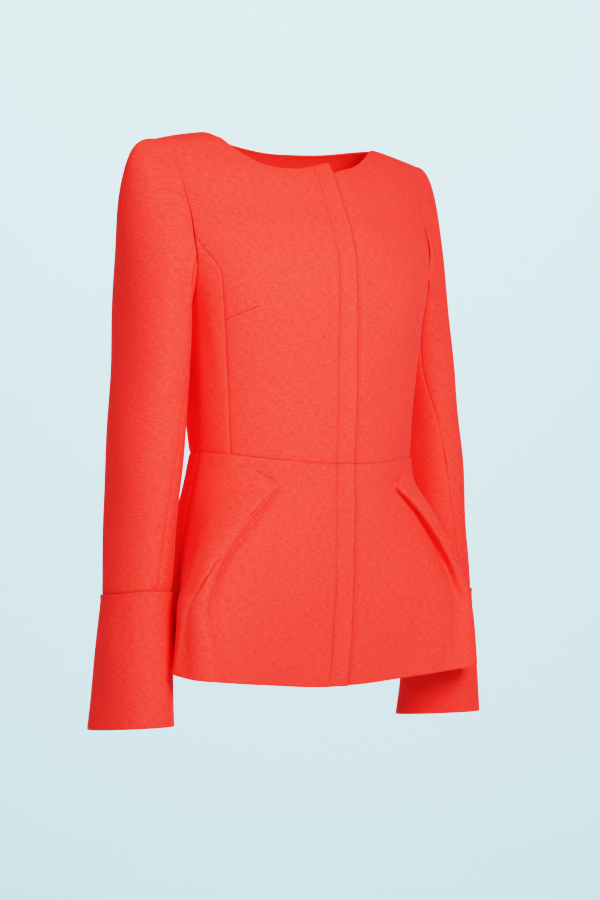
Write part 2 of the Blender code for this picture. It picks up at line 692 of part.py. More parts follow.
def make_band_peplum():
    """Closing band of the peplum, on the points of the left front, one layer out."""
    across = BAND_CELLS[0]
    x = spread(-BAND_HALF_WIDTH, BAND_HALF_WIDTH, across)
    rows = []
    for fall in np.linspace(0.0, 1.0, PEPLUM_CELLS + 1):
        path = peplum_path(fall)
        place = np.interp(x, path[2][:, 0], path[1])
        rows.append(on_path(path, place, np.full(x.shape, BAND_LIFT)))
    grid = np.stack(rows)
    add_piece("band_peplum", pulled_in(grid), level_row(grid_normals(grid), 0))


def make_peplum_back():
    """Back skirt piece, side seam to side seam."""
    across, down = PEPLUM_BACK_CELLS
    first = SIDE_TURN + TURN_HAIR
    turn = np.radians(np.linspace(first, 360.0 - first, across + 1))[None, :]
    fall = np.linspace(0.0, 1.0, down + 1)[:, None]
    grid = peplum_surface(turn + 0.0 * fall, fall + 0.0 * turn)
    add_piece("peplum_back", pulled_in(grid), level_row(grid_normals(grid), 0))


def arm_ring(rings, height, angle):
    """Point of a sleeve or cuff ring; angle 0 is outward, 90 front, 180 towards the body, 270 back."""
    flipped = tuple(reversed(rings))

    def value(name):
        return column(flipped, ARM_COLUMNS, name, height)

    away = np.cos(angle)
    forward = np.sin(angle)
    square = np.where(away > 0.0, OUTER_SQUARE, value("inner_square"))
    reach = (np.abs(away) ** square + np.abs(forward) ** square) ** (1.0 / square)
    across = np.where(away > 0.0, value("outer"), value("inner"))
    depth = np.where(forward > 0.0, value("front"), value("back"))
    x = value("centre_x") + across * away / reach
    y = value("centre_y") - depth * forward / reach
    return np.stack([x, y, height + 0.0 * x], axis=-1)


def sleeve_start(angle):
    """Turn and level of the armhole point where a sleeve line begins."""
    degrees = np.degrees(angle) % 360.0
    signed = np.where(degrees > 180.0, degrees - 360.0, degrees)
    return armhole(np.where(np.abs(signed) < ROUND_HAIR, ROUND_HAIR, signed))


def sleeve_cap(angle, share):
    """Sleeve head: from the armhole out over the shoulder and down to the first ring."""
    turn, level = sleeve_start(angle)
    low = np.sin(0.5 * angle) ** 2
    outward = np.array([1.0, 0.0, 0.0])
    stand_off = SLEEVE_CLEAR + UNDERARM_CLEAR * low ** 4
    start = bodice_surface(turn, level) + stand_off[..., None] * outward
    first = ARM_RINGS[0][0]
    second = ARM_RINGS[1][0]
    end = arm_ring(ARM_RINGS, np.full(angle.shape, first), angle)
    along = arm_ring(ARM_RINGS, np.full(angle.shape, second), angle) - end
    along = along / np.linalg.norm(along, axis=-1, keepdims=True)
    gap = np.linalg.norm(end - start, axis=-1)
    lean = CAP_BACK * (1.0 - low)
    head = np.stack([np.ones(lean.shape), lean, np.zeros(lean.shape)], axis=-1)
    start_way = (CAP_SPREAD * (1.0 - low))[..., None] * head + (gap * low)[..., None] * along
    end_way = (CAP_FALL * gap)[..., None] * along
    share = share[..., None]
    rest = 1.0 - share
    return (
        (1.0 + 2.0 * share) * rest ** 2 * start
        + share * rest ** 2 * start_way
        + share ** 2 * (3.0 - 2.0 * share) * end
        - share ** 2 * rest * end_way
    )


def raised(grid):
    """The right sleeve's points, drawn up from the elbow down."""
    lift = RIGHT_SLEEVE_RISE * smooth_step((RISE_START - grid[..., 2]) / RISE_RUN)
    return grid + lift[..., None] * np.array([0.0, 0.0, 1.0])


def sleeve_surface(angle, down):
    """Point on the sleeve cloth at a share of the way down from the armhole to the cuff."""
    cap = sleeve_cap(angle, np.clip(down / CAP_PART, 0.0, 1.0))
    first = ARM_RINGS[0][0]
    last = ARM_RINGS[-1][0]
    height = first + (last - first) * np.clip((down - CAP_PART) / (1.0 - CAP_PART), 0.0, 1.0)
    arm = arm_ring(ARM_RINGS, height, angle)
    return np.where((down > CAP_PART)[..., None], arm, cap)


def sleeve_normal(angle, down):
    """Outward direction of the sleeve cloth."""
    small = 0.004
    across = sleeve_surface(angle + small, down) - sleeve_surface(angle - small, down)
    above = np.clip(down - small, 0.0, 1.0)
    below = np.clip(down + small, 0.0, 1.0)
    normal = np.cross(across, sleeve_surface(angle, below) - sleeve_surface(angle, above))
    return normal / np.linalg.norm(normal, axis=-1, keepdims=True)


def sleeve_panel(from_seam, to_seam, cells):
    """Points and directions of one half of a sleeve between two of its seams, armhole to cuff."""
    cap = np.linspace(0.0, CAP_PART, CAP_CELLS + 1)
    down = np.concatenate([cap, np.linspace(CAP_PART, 1.0, ARM_CELLS + 1)[1:]])
    start = column(SLEEVE_SEAMS, SLEEVE_SEAM_COLUMNS, from_seam, down)
    end = column(SLEEVE_SEAMS, SLEEVE_SEAM_COLUMNS, to_seam, down)
    if from_seam == "back_seam":
        start = start - 360.0
    angle = np.radians(start[:, None] + (end - start)[:, None] * np.linspace(0.0, 1.0, cells + 1))
    down = np.broadcast_to(down[:, None], angle.shape)
    grid = sleeve_surface(angle, down)
    normals = level_row(sleeve_normal(angle, down), -1)
    # at the armhole the end face lies halfway between the sleeve and the bodice
    turn, level = sleeve_start(angle[0])
    normals[0] = normals[0] + bodice_normal(turn, level)
    normals[0] = normals[0] / np.linalg.norm(normals[0], axis=-1, keepdims=True)
    return grid, normals


def make_sleeves():
    """Two-piece sleeves, set in the armholes."""
    for half, seams, cells in (
        ("top", ("back_seam", "front_seam"), TOP_SLEEVE_CELLS),
        ("under", ("front_seam", "back_seam"), UNDER_SLEEVE_CELLS),
    ):
        grid, normals = sleeve_panel(seams[0], seams[1], cells)
        add_piece("sleeve_" + half + "_left", pulled_in(grid), normals)
        add_piece("sleeve_" + half + "_right", raised(pulled_in(grid)), normals, flip=True)


def make_cuffs():
    """Flared cuffs, one closed band each."""
    around, down = CUFF_CELLS
    angle = np.linspace(0.0, 2.0 * np.pi, around, endpoint=False)[None, :]
    top = CUFF_RINGS[0][0] - SEAM_GAP
    heights = np.linspace(top, CUFF_RINGS[-1][0], down + 1)[:, None]
    grid = arm_ring(CUFF_RINGS, heights + 0.0 * angle, angle + 0.0 * heights)
    normals = level_row(-grid_normals(grid, closed=True), 0)
    add_piece("cuff_left", grid, normals, closed=True)
    add_piece("cuff_right", raised(grid), normals, closed=True, flip=True)


def main():
    for old in list(bpy.data.objects):
        bpy.data.objects.remove(old, do_unlink=True)
    make_fronts()
    make_band_bodice()
    make_sides()
    make_back()
    make_peplum_fronts()
    make_band_peplum()
    make_peplum_back()
    make_sleeves()
    make_cuffs()


main()
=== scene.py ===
# Collarless coral-red crepe jacket with a folded peplum, hollow, in its worn shape.
# Metres, +Z up. The front looks along -Y and the wearer's left is +X.
import bpy
import numpy as np
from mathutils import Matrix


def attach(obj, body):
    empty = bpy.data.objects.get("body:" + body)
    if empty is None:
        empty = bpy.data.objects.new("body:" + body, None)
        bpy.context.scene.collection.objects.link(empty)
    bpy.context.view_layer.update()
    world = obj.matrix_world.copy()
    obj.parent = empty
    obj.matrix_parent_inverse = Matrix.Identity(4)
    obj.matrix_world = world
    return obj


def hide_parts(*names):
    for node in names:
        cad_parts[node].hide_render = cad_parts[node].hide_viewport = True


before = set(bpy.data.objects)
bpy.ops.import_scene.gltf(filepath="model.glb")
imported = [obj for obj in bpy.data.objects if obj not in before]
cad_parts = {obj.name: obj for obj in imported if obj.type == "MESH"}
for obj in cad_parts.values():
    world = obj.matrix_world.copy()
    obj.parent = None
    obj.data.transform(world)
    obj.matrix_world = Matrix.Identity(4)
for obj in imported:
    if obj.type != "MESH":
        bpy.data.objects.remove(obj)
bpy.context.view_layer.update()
print("frame loaded with", len(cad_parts), "solids")

cloth = {
    "thick": 0.0018,  # one layer of crepe
    "edgeLines": (0.00005, 0.0005, 0.0012, 0.0026),  # grid lines beside each edge
    "edgeLinesMost": 0.9,  # most of a cell that they take
    "edgeThin": 0.45, "edgeRound": 0.0010,  # share of the thickness left at the very edge
    "seamDepth": 0.0007, "seamWidth": 0.0022,  # a sewn edge turns in
    "joinDepth": 0.0002, "joinWidth": 0.0014,  # a pressed seam hardly shows
    "freeDepth": 0.0004, "freeWidth": 0.0014,  # a turned edge, such as neck or hem
    "pressedAbove": -0.16, "pressedRun": 0.05,  # seams above this height are pressed ones
    "flushAbove": -0.12, "flushRun": 0.04,  # shoulder and armhole edges above this keep their thickness,
    "flushFrom": 0.004, "flushWidth": 0.02,  # from a little way out from the neck
    "wobble": 0.00040,  # slight unevenness all over: sines by wave numbers in x, y, z and a phase
    "waves": ((71.0, 0.0, 23.0, 0.4), (0.0, -31.0, 55.0, 1.7), (47.0, 93.0, -38.0, 0.0)),
    "creasePoints": 28, "creaseEnd": 0.03, "creaseFade": 0.8,
    "grainLean": 0.1,  # share of a piece's mean direction in its grain
    "dartRoot": 0.004,  # how far a dart's line runs on at its root
}

bodice = {
    "at": (-0.10, 0.0, 0.10, 0.20, 0.30, 0.42, 0.52, 0.62, 0.74, 0.88, 1.0),  # shoulder ridge to waist
    "drop": (0.007, 0.0, 0.007, 0.024, 0.050, 0.085, 0.1142, 0.1457, 0.1876, 0.270, 0.356),
    "halfWidth": (0.186, 0.186, 0.186, 0.185, 0.183, 0.182, 0.179, 0.167, 0.153, 0.1425, 0.136),
    "front": (-0.026, 0.0, 0.026, 0.046, 0.064, 0.0805, 0.094, 0.100, 0.0986, 0.0897, 0.0825),
    "back": (-0.030, 0.0, 0.030, 0.052, 0.070, 0.085, 0.093, 0.098, 0.100, 0.092, 0.0825),
    "middle": (0.0, 0.0, 0.0, 0.0, -0.002, -0.003, -0.0047, -0.007, -0.010, -0.0175, -0.0223),
    "frontSquare": (2.0, 2.0, 2.0, 2.0, 2.0, 2.0, 2.1, 2.4, 2.8, 2.4, 2.15),
    "backSquare": (2.0, 2.0, 2.0, 2.0, 2.0, 2.0, 2.1, 2.2, 2.3, 2.2, 2.1),
    "ridgeReach": 0.60,  # level where the shoulder slope has faded out
    "slope": 0.23, "rounding": 0.020,
    "waistDip": 0.0124, "backNeck": 0.010, "levelSteps": 801, "smallStep": 0.002,
}
neck = {"half": 0.117, "bandRise": 0.009, "riseRun": 0.050}
neckRight = {
    "at": (0.0, 0.042, 0.0618, 0.0778, 0.0902, 0.1039, 0.1120, 0.1170),
    "depth": (0.0432, 0.0432, 0.0422, 0.0385, 0.0320, 0.0200, 0.0090, 0.0),
}
neckLeft = {
    "at": (0.0, 0.0125, 0.0365, 0.0574, 0.0733, 0.0838, 0.1030, 0.1170),
    "depth": (0.0432, 0.0422, 0.0365, 0.0293, 0.0208, 0.0136, 0.0036, 0.0),
}
bodySeams = {
    "at": (0.60, 0.67, 0.74, 0.88, 1.0),
    "front": (0.146, 0.1405, 0.1375, 0.1285, 0.122),
    "back": (0.130, 0.122, 0.115, 0.102, 0.095),
}
armholeCut = {
    "floor": 0.78, "topTurn": 13.0, "frontScoop": 20.5, "backScoop": 19.0, "lean": 0.60,
    "crown": 60.0, "crownCell": 26.0, "hair": 0.001,
    "frontJunction": 113.0, "backJunction": -118.0,
}


def smoothStep(share):
    # 0 to 1 with flat ends
    share = np.clip(share, 0.0, 1.0)
    return share * share * (3.0 - 2.0 * share)


def shares(cells):
    # evenly spaced shares from 0 to 1
    return np.linspace(0.0, 1.0, cells + 1)


def bell(distance, width):
    # 1 at no distance, falling off on both sides as e to the minus square
    return np.exp(-(distance / width) ** 2)


def unit(vectors):
    # the same directions with length 1
    return vectors / np.maximum(np.linalg.norm(vectors, axis=-1, keepdims=True), 1e-12)


def stack(*parts):
    # arrays or numbers, spread to one shape, side by side along a new last axis
    return np.stack(np.broadcast_arrays(*parts), axis=-1)


def walkedLength(points):
    # length along a line of points, from its first one
    return np.concatenate([[0.0], np.cumsum(np.linalg.norm(np.diff(points, axis=0), axis=-1))])


def readAlong(at, length, values):
    # rows of values that lie at some lengths, read at other lengths
    return stack(*(np.interp(at, length, column) for column in values.T))


def cubic(s, start, startWay, end, endWay):
    # cubic from start to end as s goes from 0 to 1, with the given ways at both ends
    r = 1.0 - s
    return ((1.0 + 2.0 * s) * r ** 2 * start + s * r ** 2 * startWay
            + s ** 2 * (3.0 - 2.0 * s) * end - s ** 2 * r * endWay)


def readTable(table, name, at):
    # cubic through one column that never overshoots, read along the column "at"
    knots = np.array(table["at"])
    values = np.array(table[name])
    steps = np.diff(knots)
    slopes = np.diff(values) / steps
    before, after = slopes[:-1], slopes[1:]
    sameWay = before * after > 0.0
    wBefore = 2.0 * steps[1:] + steps[:-1]
    wAfter = steps[1:] + 2.0 * steps[:-1]
    inverse = wBefore / np.where(sameWay, before, 1.0) + wAfter / np.where(sameWay, after, 1.0)
    mean = np.where(sameWay, (wBefore + wAfter) / inverse, 0.0)
    tangents = np.concatenate([slopes[:1], mean, slopes[-1:]])
    at = np.clip(np.asarray(at, dtype=float), knots[0], knots[-1])
    cell = np.clip(np.searchsorted(knots, at, side="right") - 1, 0, len(steps) - 1)
    width = steps[cell]
    s = (at - knots[cell]) / width
    return cubic(s, values[cell], width * tangents[cell], values[cell + 1], width * tangents[cell + 1])


def readAll(table, at):
    # every column of a table, read at the same places
    size = len(table["at"])
    return {name: readTable(table, name, at) for name, column in table.items()
            if isinstance(column, tuple) and len(column) == size}


def superReach(side, ahead, square):
    # what a direction is divided by to lie on the unit superellipse
    return (np.abs(side) ** square + np.abs(ahead) ** square) ** (1.0 / square)


def roundedSection(turn, frontSquare, backSquare):
    # superellipse of unit size: sideways and forward share at an angle from the front
    side, ahead = np.sin(turn), np.cos(turn)
    reach = superReach(side, ahead, np.where(ahead > 0.0, frontSquare, backSquare))
    return side / reach, ahead / reach


def bodicePoint(turn, level):
    # superellipse sections stacked by level; the shoulder slope fades out down the body
    # and the waist dips in front
    form = readAll(bodice, level)
    side, ahead = roundedSection(turn, form["frontSquare"], form["backSquare"])
    x = form["halfWidth"] * side
    y = form["middle"] - np.where(ahead > 0.0, form["front"], form["back"]) * ahead
    past = np.abs(x) - neck["half"]
    shoulder = 0.5 * bodice["slope"] * (past + np.sqrt(past ** 2 + bodice["rounding"] ** 2))
    shoulder = shoulder * (1.0 - smoothStep(np.abs(level) / bodice["ridgeReach"]))
    dip = bodice["waistDip"] * np.clip(np.cos(turn), 0.0, 1.0) ** 2 * np.clip(level, 0.0, 1.0) ** 4
    return stack(x, y, -form["drop"] - shoulder - dip)


def bodiceOut(turn, level):
    # outward direction from small steps along both parameters
    small = bodice["smallStep"]
    across = bodicePoint(turn + small, level) - bodicePoint(turn - small, level)
    down = bodicePoint(turn, level + small) - bodicePoint(turn, level - small)
    return unit(np.cross(down, across))


def turnAt(x, level, behind=False):
    # the angle at which a section has a given distance from the middle line
    square = readTable(bodice, "backSquare" if behind else "frontSquare", level)
    share = np.clip(x / readTable(bodice, "halfWidth", level), -1.0, 1.0)
    turn = np.arctan2(share, (1.0 - np.abs(share) ** square) ** (1.0 / square))
    return np.pi - turn if behind else turn


def levelAtDrop(drop):
    # reads the drop column backwards
    levels = np.linspace(0.0, 1.0, bodice["levelSteps"])
    return np.interp(drop, readTable(bodice, "drop", levels), levels)


def neckDepth(x, left):
    # depth of the front neckline; x grows towards the panel's own side, the band stands up at its end
    depth = readTable(neckLeft if left else neckRight, "depth", np.abs(x))
    if left:
        return depth
    return depth - neck["bandRise"] * smoothStep((neck["riseRun"] - band["half"] - x) / neck["riseRun"])


def armhole(roundAngle):
    # turn and level round the armhole: a cosine for the height, a leaning sine scoop for the depth
    roundAngle = np.asarray(roundAngle, dtype=float)
    angle = np.radians(np.abs(roundAngle))
    scoop = np.where(roundAngle > 0.0, armholeCut["frontScoop"], armholeCut["backScoop"])
    scoop = scoop * smoothStep(angle / np.radians(armholeCut["crown"]))
    away = armholeCut["topTurn"] * 0.5 * (1.0 + np.cos(angle))
    away = away + scoop * np.sin(angle) * (1.0 - armholeCut["lean"] * np.cos(angle))
    turn = np.radians(90.0 + np.where(roundAngle > 0.0, -1.0, 1.0) * away)
    return turn, armholeCut["floor"] * 0.5 * (1.0 - np.cos(angle))


def seamUp(name, junction, cells):
    # turn and level up a body seam from the waist, bending over at the end to meet the armhole
    endTurn, endLevel = armhole(junction)
    level = np.linspace(1.0, endLevel, cells + 1)
    turn = turnAt(readTable(bodySeams, name, level), level, behind=name == "back")
    bendAt = bodySeams["at"][1]
    turn = turn + (endTurn - turn) * smoothStep((bendAt - level) / (bendAt - endLevel))
    return stack(turn, level)


def byWidth(edge):
    # an edge of turn and level, as distance from the middle line and level
    return stack(bodicePoint(edge[:, 0], edge[:, 1])[:, 0], edge[:, 1])


def straight(start, end, cells):
    # evenly spaced points of a straight line
    share = shares(cells)[:, None]
    return start + (end - start) * share


def sideEdge(name, junction, cells):
    # seam, armhole and the straight last stretch to the shoulder point, in width and level
    seamCells, armCells, crownCells = cells
    seam = byWidth(seamUp(name, junction, seamCells))
    sign = np.sign(junction)
    angles = np.linspace(abs(junction), armholeCut["crownCell"], armCells + 1)
    arm = byWidth(stack(*armhole(sign * angles)))
    tip = byWidth(stack(*armhole(np.array([sign * armholeCut["hair"]]))))
    crown = straight(arm[-1], tip[0], crownCells)
    return np.concatenate([seam, arm[1:], crown[1:]])


def fillBetween(bottom, top, left, right):
    # bilinearly blended patch of four edges, its rows spaced as the right edge rises
    u = np.linspace(0.0, 1.0, len(bottom))[None, :, None]
    v = ((right[:, 1] - right[0, 1]) / (right[-1, 1] - right[0, 1]))[:, None, None]
    sides = (1.0 - u) * left[:, None, :] + u * right[:, None, :]
    ends = (1.0 - v) * bottom[None] + v * top[None]
    corners = (1.0 - v) * ((1.0 - u) * bottom[0] + u * bottom[-1]) + v * ((1.0 - u) * top[0] + u * top[-1])
    return sides + ends - corners


def settleInside(domain, rounds=160):
    # inner points move to the mean of their neighbours, which smooths a patch away from its corners
    for _ in range(rounds):
        inner = domain[:-2, 1:-1] + domain[2:, 1:-1] + domain[1:-1, :-2] + domain[1:-1, 2:]
        domain[1:-1, 1:-1] = 0.25 * inner
    return domain


def outward(grid, closed=False):
    # rows run down and columns towards +turn, so down cross across looks out
    if closed:
        across = np.roll(grid, -1, axis=1) - np.roll(grid, 1, axis=1)
    else:
        across = np.gradient(grid, axis=1)
    return unit(np.cross(np.gradient(grid, axis=0), across))


def mirrored(grid):
    # the same piece on the other side, columns turned round so that it still looks out
    return (grid * np.array([-1.0, 1.0, 1.0]))[:, ::-1]


def addEdgeLines(grid, axis):
    # both end lines along an axis give way to a few close ones, so that an edge can be rounded
    lanes = np.moveaxis(grid, axis, 0)

    def close(edge, inside):
        way = inside - edge
        length = np.maximum(np.linalg.norm(way, axis=-1, keepdims=True), 1e-9)
        steps = np.array(cloth["edgeLines"])[:, None, None]
        most = cloth["edgeLinesMost"] * steps / steps.max()
        return edge[None] + way[None] * np.minimum(steps / length[None], most)

    lanes = np.concatenate([close(lanes[0], lanes[1]), lanes[1:-1], close(lanes[-1], lanes[-2])[::-1]])
    return np.moveaxis(lanes, 0, axis)


def lengthsAlong(grid, axis):
    # distance walked along the grid lines from the first and from the last line
    walked = np.cumsum(np.linalg.norm(np.diff(grid, axis=axis), axis=-1), axis=axis)
    walked = np.concatenate([np.zeros_like(np.take(walked, [0], axis=axis)), walked], axis=axis)
    return walked, np.take(walked, [-1], axis=axis) - walked


def crease(points, start, middle, end, height, width):
    # soft trough or ridge, in millimetres: a bell across a curve through three places, fading at both ends
    start, middle, end = 0.001 * np.array([start, middle, end])
    share = np.linspace(0.0, 1.0, cloth["creasePoints"])[:, None]
    turning = 2.0 * middle - 0.5 * (start + end)
    curve = (1.0 - share) ** 2 * start + 2.0 * share * (1.0 - share) * turning + share ** 2 * end
    apart = np.linalg.norm(points.reshape(-1, 1, 3) - curve, axis=-1)
    along = share[apart.argmin(axis=1), 0] * (1.0 - 2.0 * cloth["creaseEnd"]) + cloth["creaseEnd"]
    fade = np.sin(np.pi * along) ** cloth["creaseFade"]
    return (0.001 * height * fade * bell(apart.min(axis=1), 0.001 * width)).reshape(points.shape[:2])


def wobbleAt(points):
    # a few slow sines in different directions
    return cloth["wobble"] * sum(np.sin(points @ np.array(wave[:3]) + wave[3]) for wave in cloth["waves"])


# creases by piece, in millimetres: start, middle and end of the line, height (below zero a trough), width
creases = {
    "front_right": [
        ((-107, -94, -200), (-122, -83, -208), (-136, -69, -215.5), -1, 4),
        ((-105, -94, -198), (-85, -100, -194), (-60, -104, -188), 1, 16),
        ((-140, -60, -120), (-118, -78, -135), (-95, -88, -142), -1, 12),
        ((-118, -68, -330), (-90, -86, -322), (-60, -94, -318), 0.8, 10),
        ((-114, -74, -300), (-85, -90, -290), (-50, -100, -286), -0.7, 10),
    ],
    "front_left": [
        ((107, -94, -199), (122, -83, -206), (136, -69, -213.5), -1, 4),
        ((105, -94, -198), (85, -100, -195), (58, -104, -190), 0.9, 16),
        ((144, -56, -112), (120, -76, -126), (92, -88, -130), -1.1, 13),
        ((116, -70, -326), (85, -88, -316), (50, -98, -314), 0.7, 11),
    ],
    "side_right": [
        ((-150, -56, -165), (-142.5, -58, -225), (-131, -58.5, -300), 1.6, 9),
        ((-154, -10, -205), (-148, -12, -245), (-140, -16, -300), -1.4, 12),
        ((-150, 20, -215), (-143, 15, -260), (-136, 8, -310), 1.2, 11),
    ],
    "side_left": [
        ((150, -56, -165), (142, -58, -230), (131, -58.5, -305), 1.4, 10),
        ((154, -6, -205), (148, -10, -250), (140, -15, -305), -1.4, 11),
        ((150, 22, -215), (143, 16, -255), (137, 10, -300), 1.1, 12),
    ],
    "back": [
        ((-85, 46, -318), (-35, 60, -326), (20, 64, -322), 2.2, 10),
        ((88, 46, -306), (40, 62, -300), (-15, 68, -303), 2, 9),
        ((-75, 55, -290), (-30, 69, -282), (30, 70, -284), -1.8, 10),
        ((-120, 60, -120), (-85, 78, -150), (-60, 88, -200), -1.4, 14),
        ((122, 60, -115), (88, 78, -148), (64, 88, -190), -1.3, 15),
    ],
    "peplum_back": [
        ((-100, 45, -400), (-112, 58, -490), (-120, 66, -590), 6, 19),
        ((-55, 66, -390), (-60, 84, -480), (-66, 96, -590), -5.6, 18),
        ((-6, 73, -400), (-4, 92, -490), (-2, 106, -590), 6, 20),
        ((50, 68, -390), (56, 85, -480), (62, 98, -590), -5.2, 17),
        ((98, 46, -400), (108, 60, -490), (114, 70, -590), 5.6, 19),
    ],
    "peplum_front_right": [
        ((-35, -104, -400), (-42, -102, -480), (-46, -94, -600), 1, 18),
        ((-90, -98, -450), (-98, -96, -520), (-104, -90, -598), -1.4, 18),
        ((-160, -50, -420), (-172, -52, -490), (-172, -40, -570), -2.2, 14),
        ((-160, -90.5, -455), (-179.6, -101, -545), (-160, -115, -640), 2.8, 11),
        ((-172, -86, -470), (-195.5, -85, -552), (-196, -100, -640), -3.4, 11),
    ],
    "peplum_front_left": [
        ((50, -103, -410), (58, -101, -490), (62, -92, -600), 1.2, 18),
        ((105, -96, -470), (110, -94, -530), (114, -88, -596), -1.4, 16),
        ((160, -50, -420), (172, -52, -490), (172, -40, -570), -2, 15),
        ((160, -90.5, -460), (180, -100.5, -548), (162, -114, -640), 1.8, 12),
        ((173, -85.5, -475), (195.5, -85, -555), (196, -100, -640), -2.6, 12),
    ],
    "sleeve_top_right": [
        ((-176, -28, -60), (-168, -47, -128), (-170, -50, -195), -2.6, 10),
        ((-190, -32, -70), (-186, -50, -140), (-190, -54, -230), 2.6, 12),
        ((-168, -46, -285), (-192, -53, -310), (-216, -36, -322), -1.6, 12),
        ((-172, -50, -330), (-194, -53, -350), (-222, -30, -352), 1.4, 12),
        ((-203, 47, -340), (-188, 52, -351), (-170, 48, -363), 1.8, 11),
        ((-204, 45, -376), (-190, 48, -388), (-172, 45, -400), -1.6, 11),
        ((-206, -50, -400), (-214, -51, -440), (-222, -46, -490), 1, 12),
    ],
    "sleeve_top_left": [
        ((169.6, -36.6, -81.6), (165.5, -50, -134), (175, -52, -205), 2.8, 9),
        ((182, -34, -75), (180, -50, -140), (188, -54, -225), -2.6, 10),
        ((164, -44, -300), (182, -53, -322), (204, -49, -332), -1.5, 10),
        ((168, -45, -342), (186, -53, -362), (207, -48, -366), 1.5, 10),
        ((204, 47, -333), (189, 52, -346), (170, 48, -360), 1.7, 12),
        ((205, 45, -370), (190, 48, -384), (172, 45, -397), -1.6, 12),
    ],
    "sleeve_under_right": [
        ((-156, -20, -300), (-160, 0, -322), (-163, 25, -334), -1.6, 10),
        ((-160, -22, -350), (-163, 0, -366), (-166, 22, -372), 1.4, 10),
    ],
    "sleeve_under_left": [
        ((156, -20, -306), (160, 0, -326), (163, 25, -336), -1.5, 10),
        ((160, -22, -352), (163, 0, -370), (166, 22, -376), 1.4, 11),
    ],
    "cuff_right": [
        ((-245, -30, -520), (-248, -34, -570), (-250, -40, -640), -1, 12),
        ((-212, 40, -520), (-213, 44, -570), (-214, 50, -640), 1.2, 14),
    ],
    "cuff_left": [
        ((245, -28, -525), (247, -34, -575), (250, -38, -640), 1.1, 12),
        ((208, 38, -525), (210, 44, -575), (212, 49, -645), -1.1, 13),
    ],
}
darts = {  # bust darts: root on the princess seam, tip towards the bust
    "front_right": ((-0.138, -0.066, -0.2165), (-0.107, -0.0939, -0.1999)),
    "front_left": ((0.138, -0.066, -0.2150), (0.107, -0.0939, -0.1990)),
}


def seamAndPaintedShadowLine(name, points, distances):
    # distance across and past the dark lines of a piece: its dart seam, the band's stitch line and its free
    # edge, where the line is a painted shadow, or the cuff's top and hem edges, which carry painted shade;
    # any other piece is far from one
    if name.startswith("band"):
        fromStitch = band["stitchShade"] * (distances[2] - stitch["inset"])
        # painted shadow: a dark colour line along the band's free edge
        fromEdge = band["paintedEdgeShadow"] * distances[3]
        return stack(np.where(distances[2] < distances[3], fromStitch, fromEdge), 0.0, 0.0)
    if name.startswith("cuff"):
        # painted shade: dark colour lines along the cuff's top edge, where it lies over the sleeve, and
        # along its turned hem
        across = np.minimum(cuff["paintedTopShade"] * distances[0], cuff["paintedHemShade"] * distances[1])
        return stack(across, 0.0, 0.0)
    if name not in darts:
        return np.full(points.shape, 1.0)
    root, tip = (np.array(place) for place in darts[name])
    way = unit(tip - root)
    nearest = np.linalg.norm(points - 0.5 * (root + tip), axis=-1).argmin()
    across = unit(np.cross(way, outward(points).reshape(-1, 3)[nearest]))
    along = (points - root) @ way
    past = np.maximum(along - np.linalg.norm(tip - root), 0.0) - np.minimum(along + cloth["dartRoot"], 0.0)
    return stack((points - root) @ across, past, 0.0)


def straightGrain(points, normals, middle):
    # weft level and warp at right angles to it, walked down the middle column and out along each row
    up = np.array([0.0, 0.0, 1.0])
    weft = np.cross(up, normals + cloth["grainLean"] * normals.mean(axis=(0, 1)))
    weft = unit(weft - (weft * normals).sum(axis=-1, keepdims=True) * normals)

    def walked(way):
        along = 0.5 * (np.diff(points, axis=1) * (way[:, 1:] + way[:, :-1])).sum(axis=-1)
        along = np.concatenate([np.zeros((len(points), 1)), np.cumsum(along, axis=1)], axis=1)
        spine, spineWay = points[:, middle], way[:, middle]
        down = 0.5 * (np.diff(spine, axis=0) * (spineWay[1:] + spineWay[:-1])).sum(axis=-1)
        down = np.concatenate([[0.0], np.cumsum(down)])
        return down[:, None] + along - along[:, [middle]]

    return stack(walked(weft), walked(np.cross(normals, weft)))


def wrapped(grid):
    # a closed grid with its first column repeated at the end
    return np.concatenate([grid, grid[:, :1]], axis=1)


def quads(index):
    # the four corners of each cell of a grid of numbers
    corners = [index[:-1, :-1], index[1:, :-1], index[1:, 1:], index[:-1, 1:]]
    return np.stack(corners, axis=-1).reshape(-1, 4)


def rimQuads(index, shift, closed):
    # faces that join the border of a grid to that of its copy, numbered higher by shift
    lines = [index[0, ::-1], index[-1]]
    if not closed:
        lines += [index[:, 0], index[::-1, -1]]
    return np.concatenate([
        np.stack([line[:-1], line[:-1] + shift, line[1:] + shift, line[1:]], axis=-1) for line in lines
    ])


def rolledEdges(grid, edges, distances):
    # how far each edge turns in: a bell from the edge; high seams are pressed, the highest lie flush
    height = grid[..., 2]
    pressed = smoothStep((height - cloth["pressedAbove"]) / cloth["pressedRun"])
    flush = smoothStep((height - cloth["flushAbove"]) / cloth["flushRun"])
    total = np.zeros(height.shape)
    for kind, distance in zip(edges, distances):
        depth = cloth[kind + "Depth"]
        if kind == "seam":
            depth = depth + (cloth["joinDepth"] - depth) * pressed
        if kind in ("seam", "join"):
            depth = depth * (1.0 - flush)
        total = total + depth * bell(distance, cloth[kind + "Width"])
    return total


def halfThickness(grid, distances):
    # half the cloth, thinner at an edge unless that lies on the shoulder
    flush = smoothStep((np.abs(grid[..., 0]) - neck["half"] - cloth["flushFrom"]) / cloth["flushWidth"])
    flush = flush * smoothStep((grid[..., 2] - cloth["flushAbove"]) / cloth["flushRun"])
    atEdge = cloth["edgeThin"] + (1.0 - cloth["edgeThin"]) * flush
    inside = np.sqrt(smoothStep(np.minimum.reduce(distances) / cloth["edgeRound"]))
    return 0.5 * cloth["thick"] * (atEdge + (1.0 - atEdge) * inside)


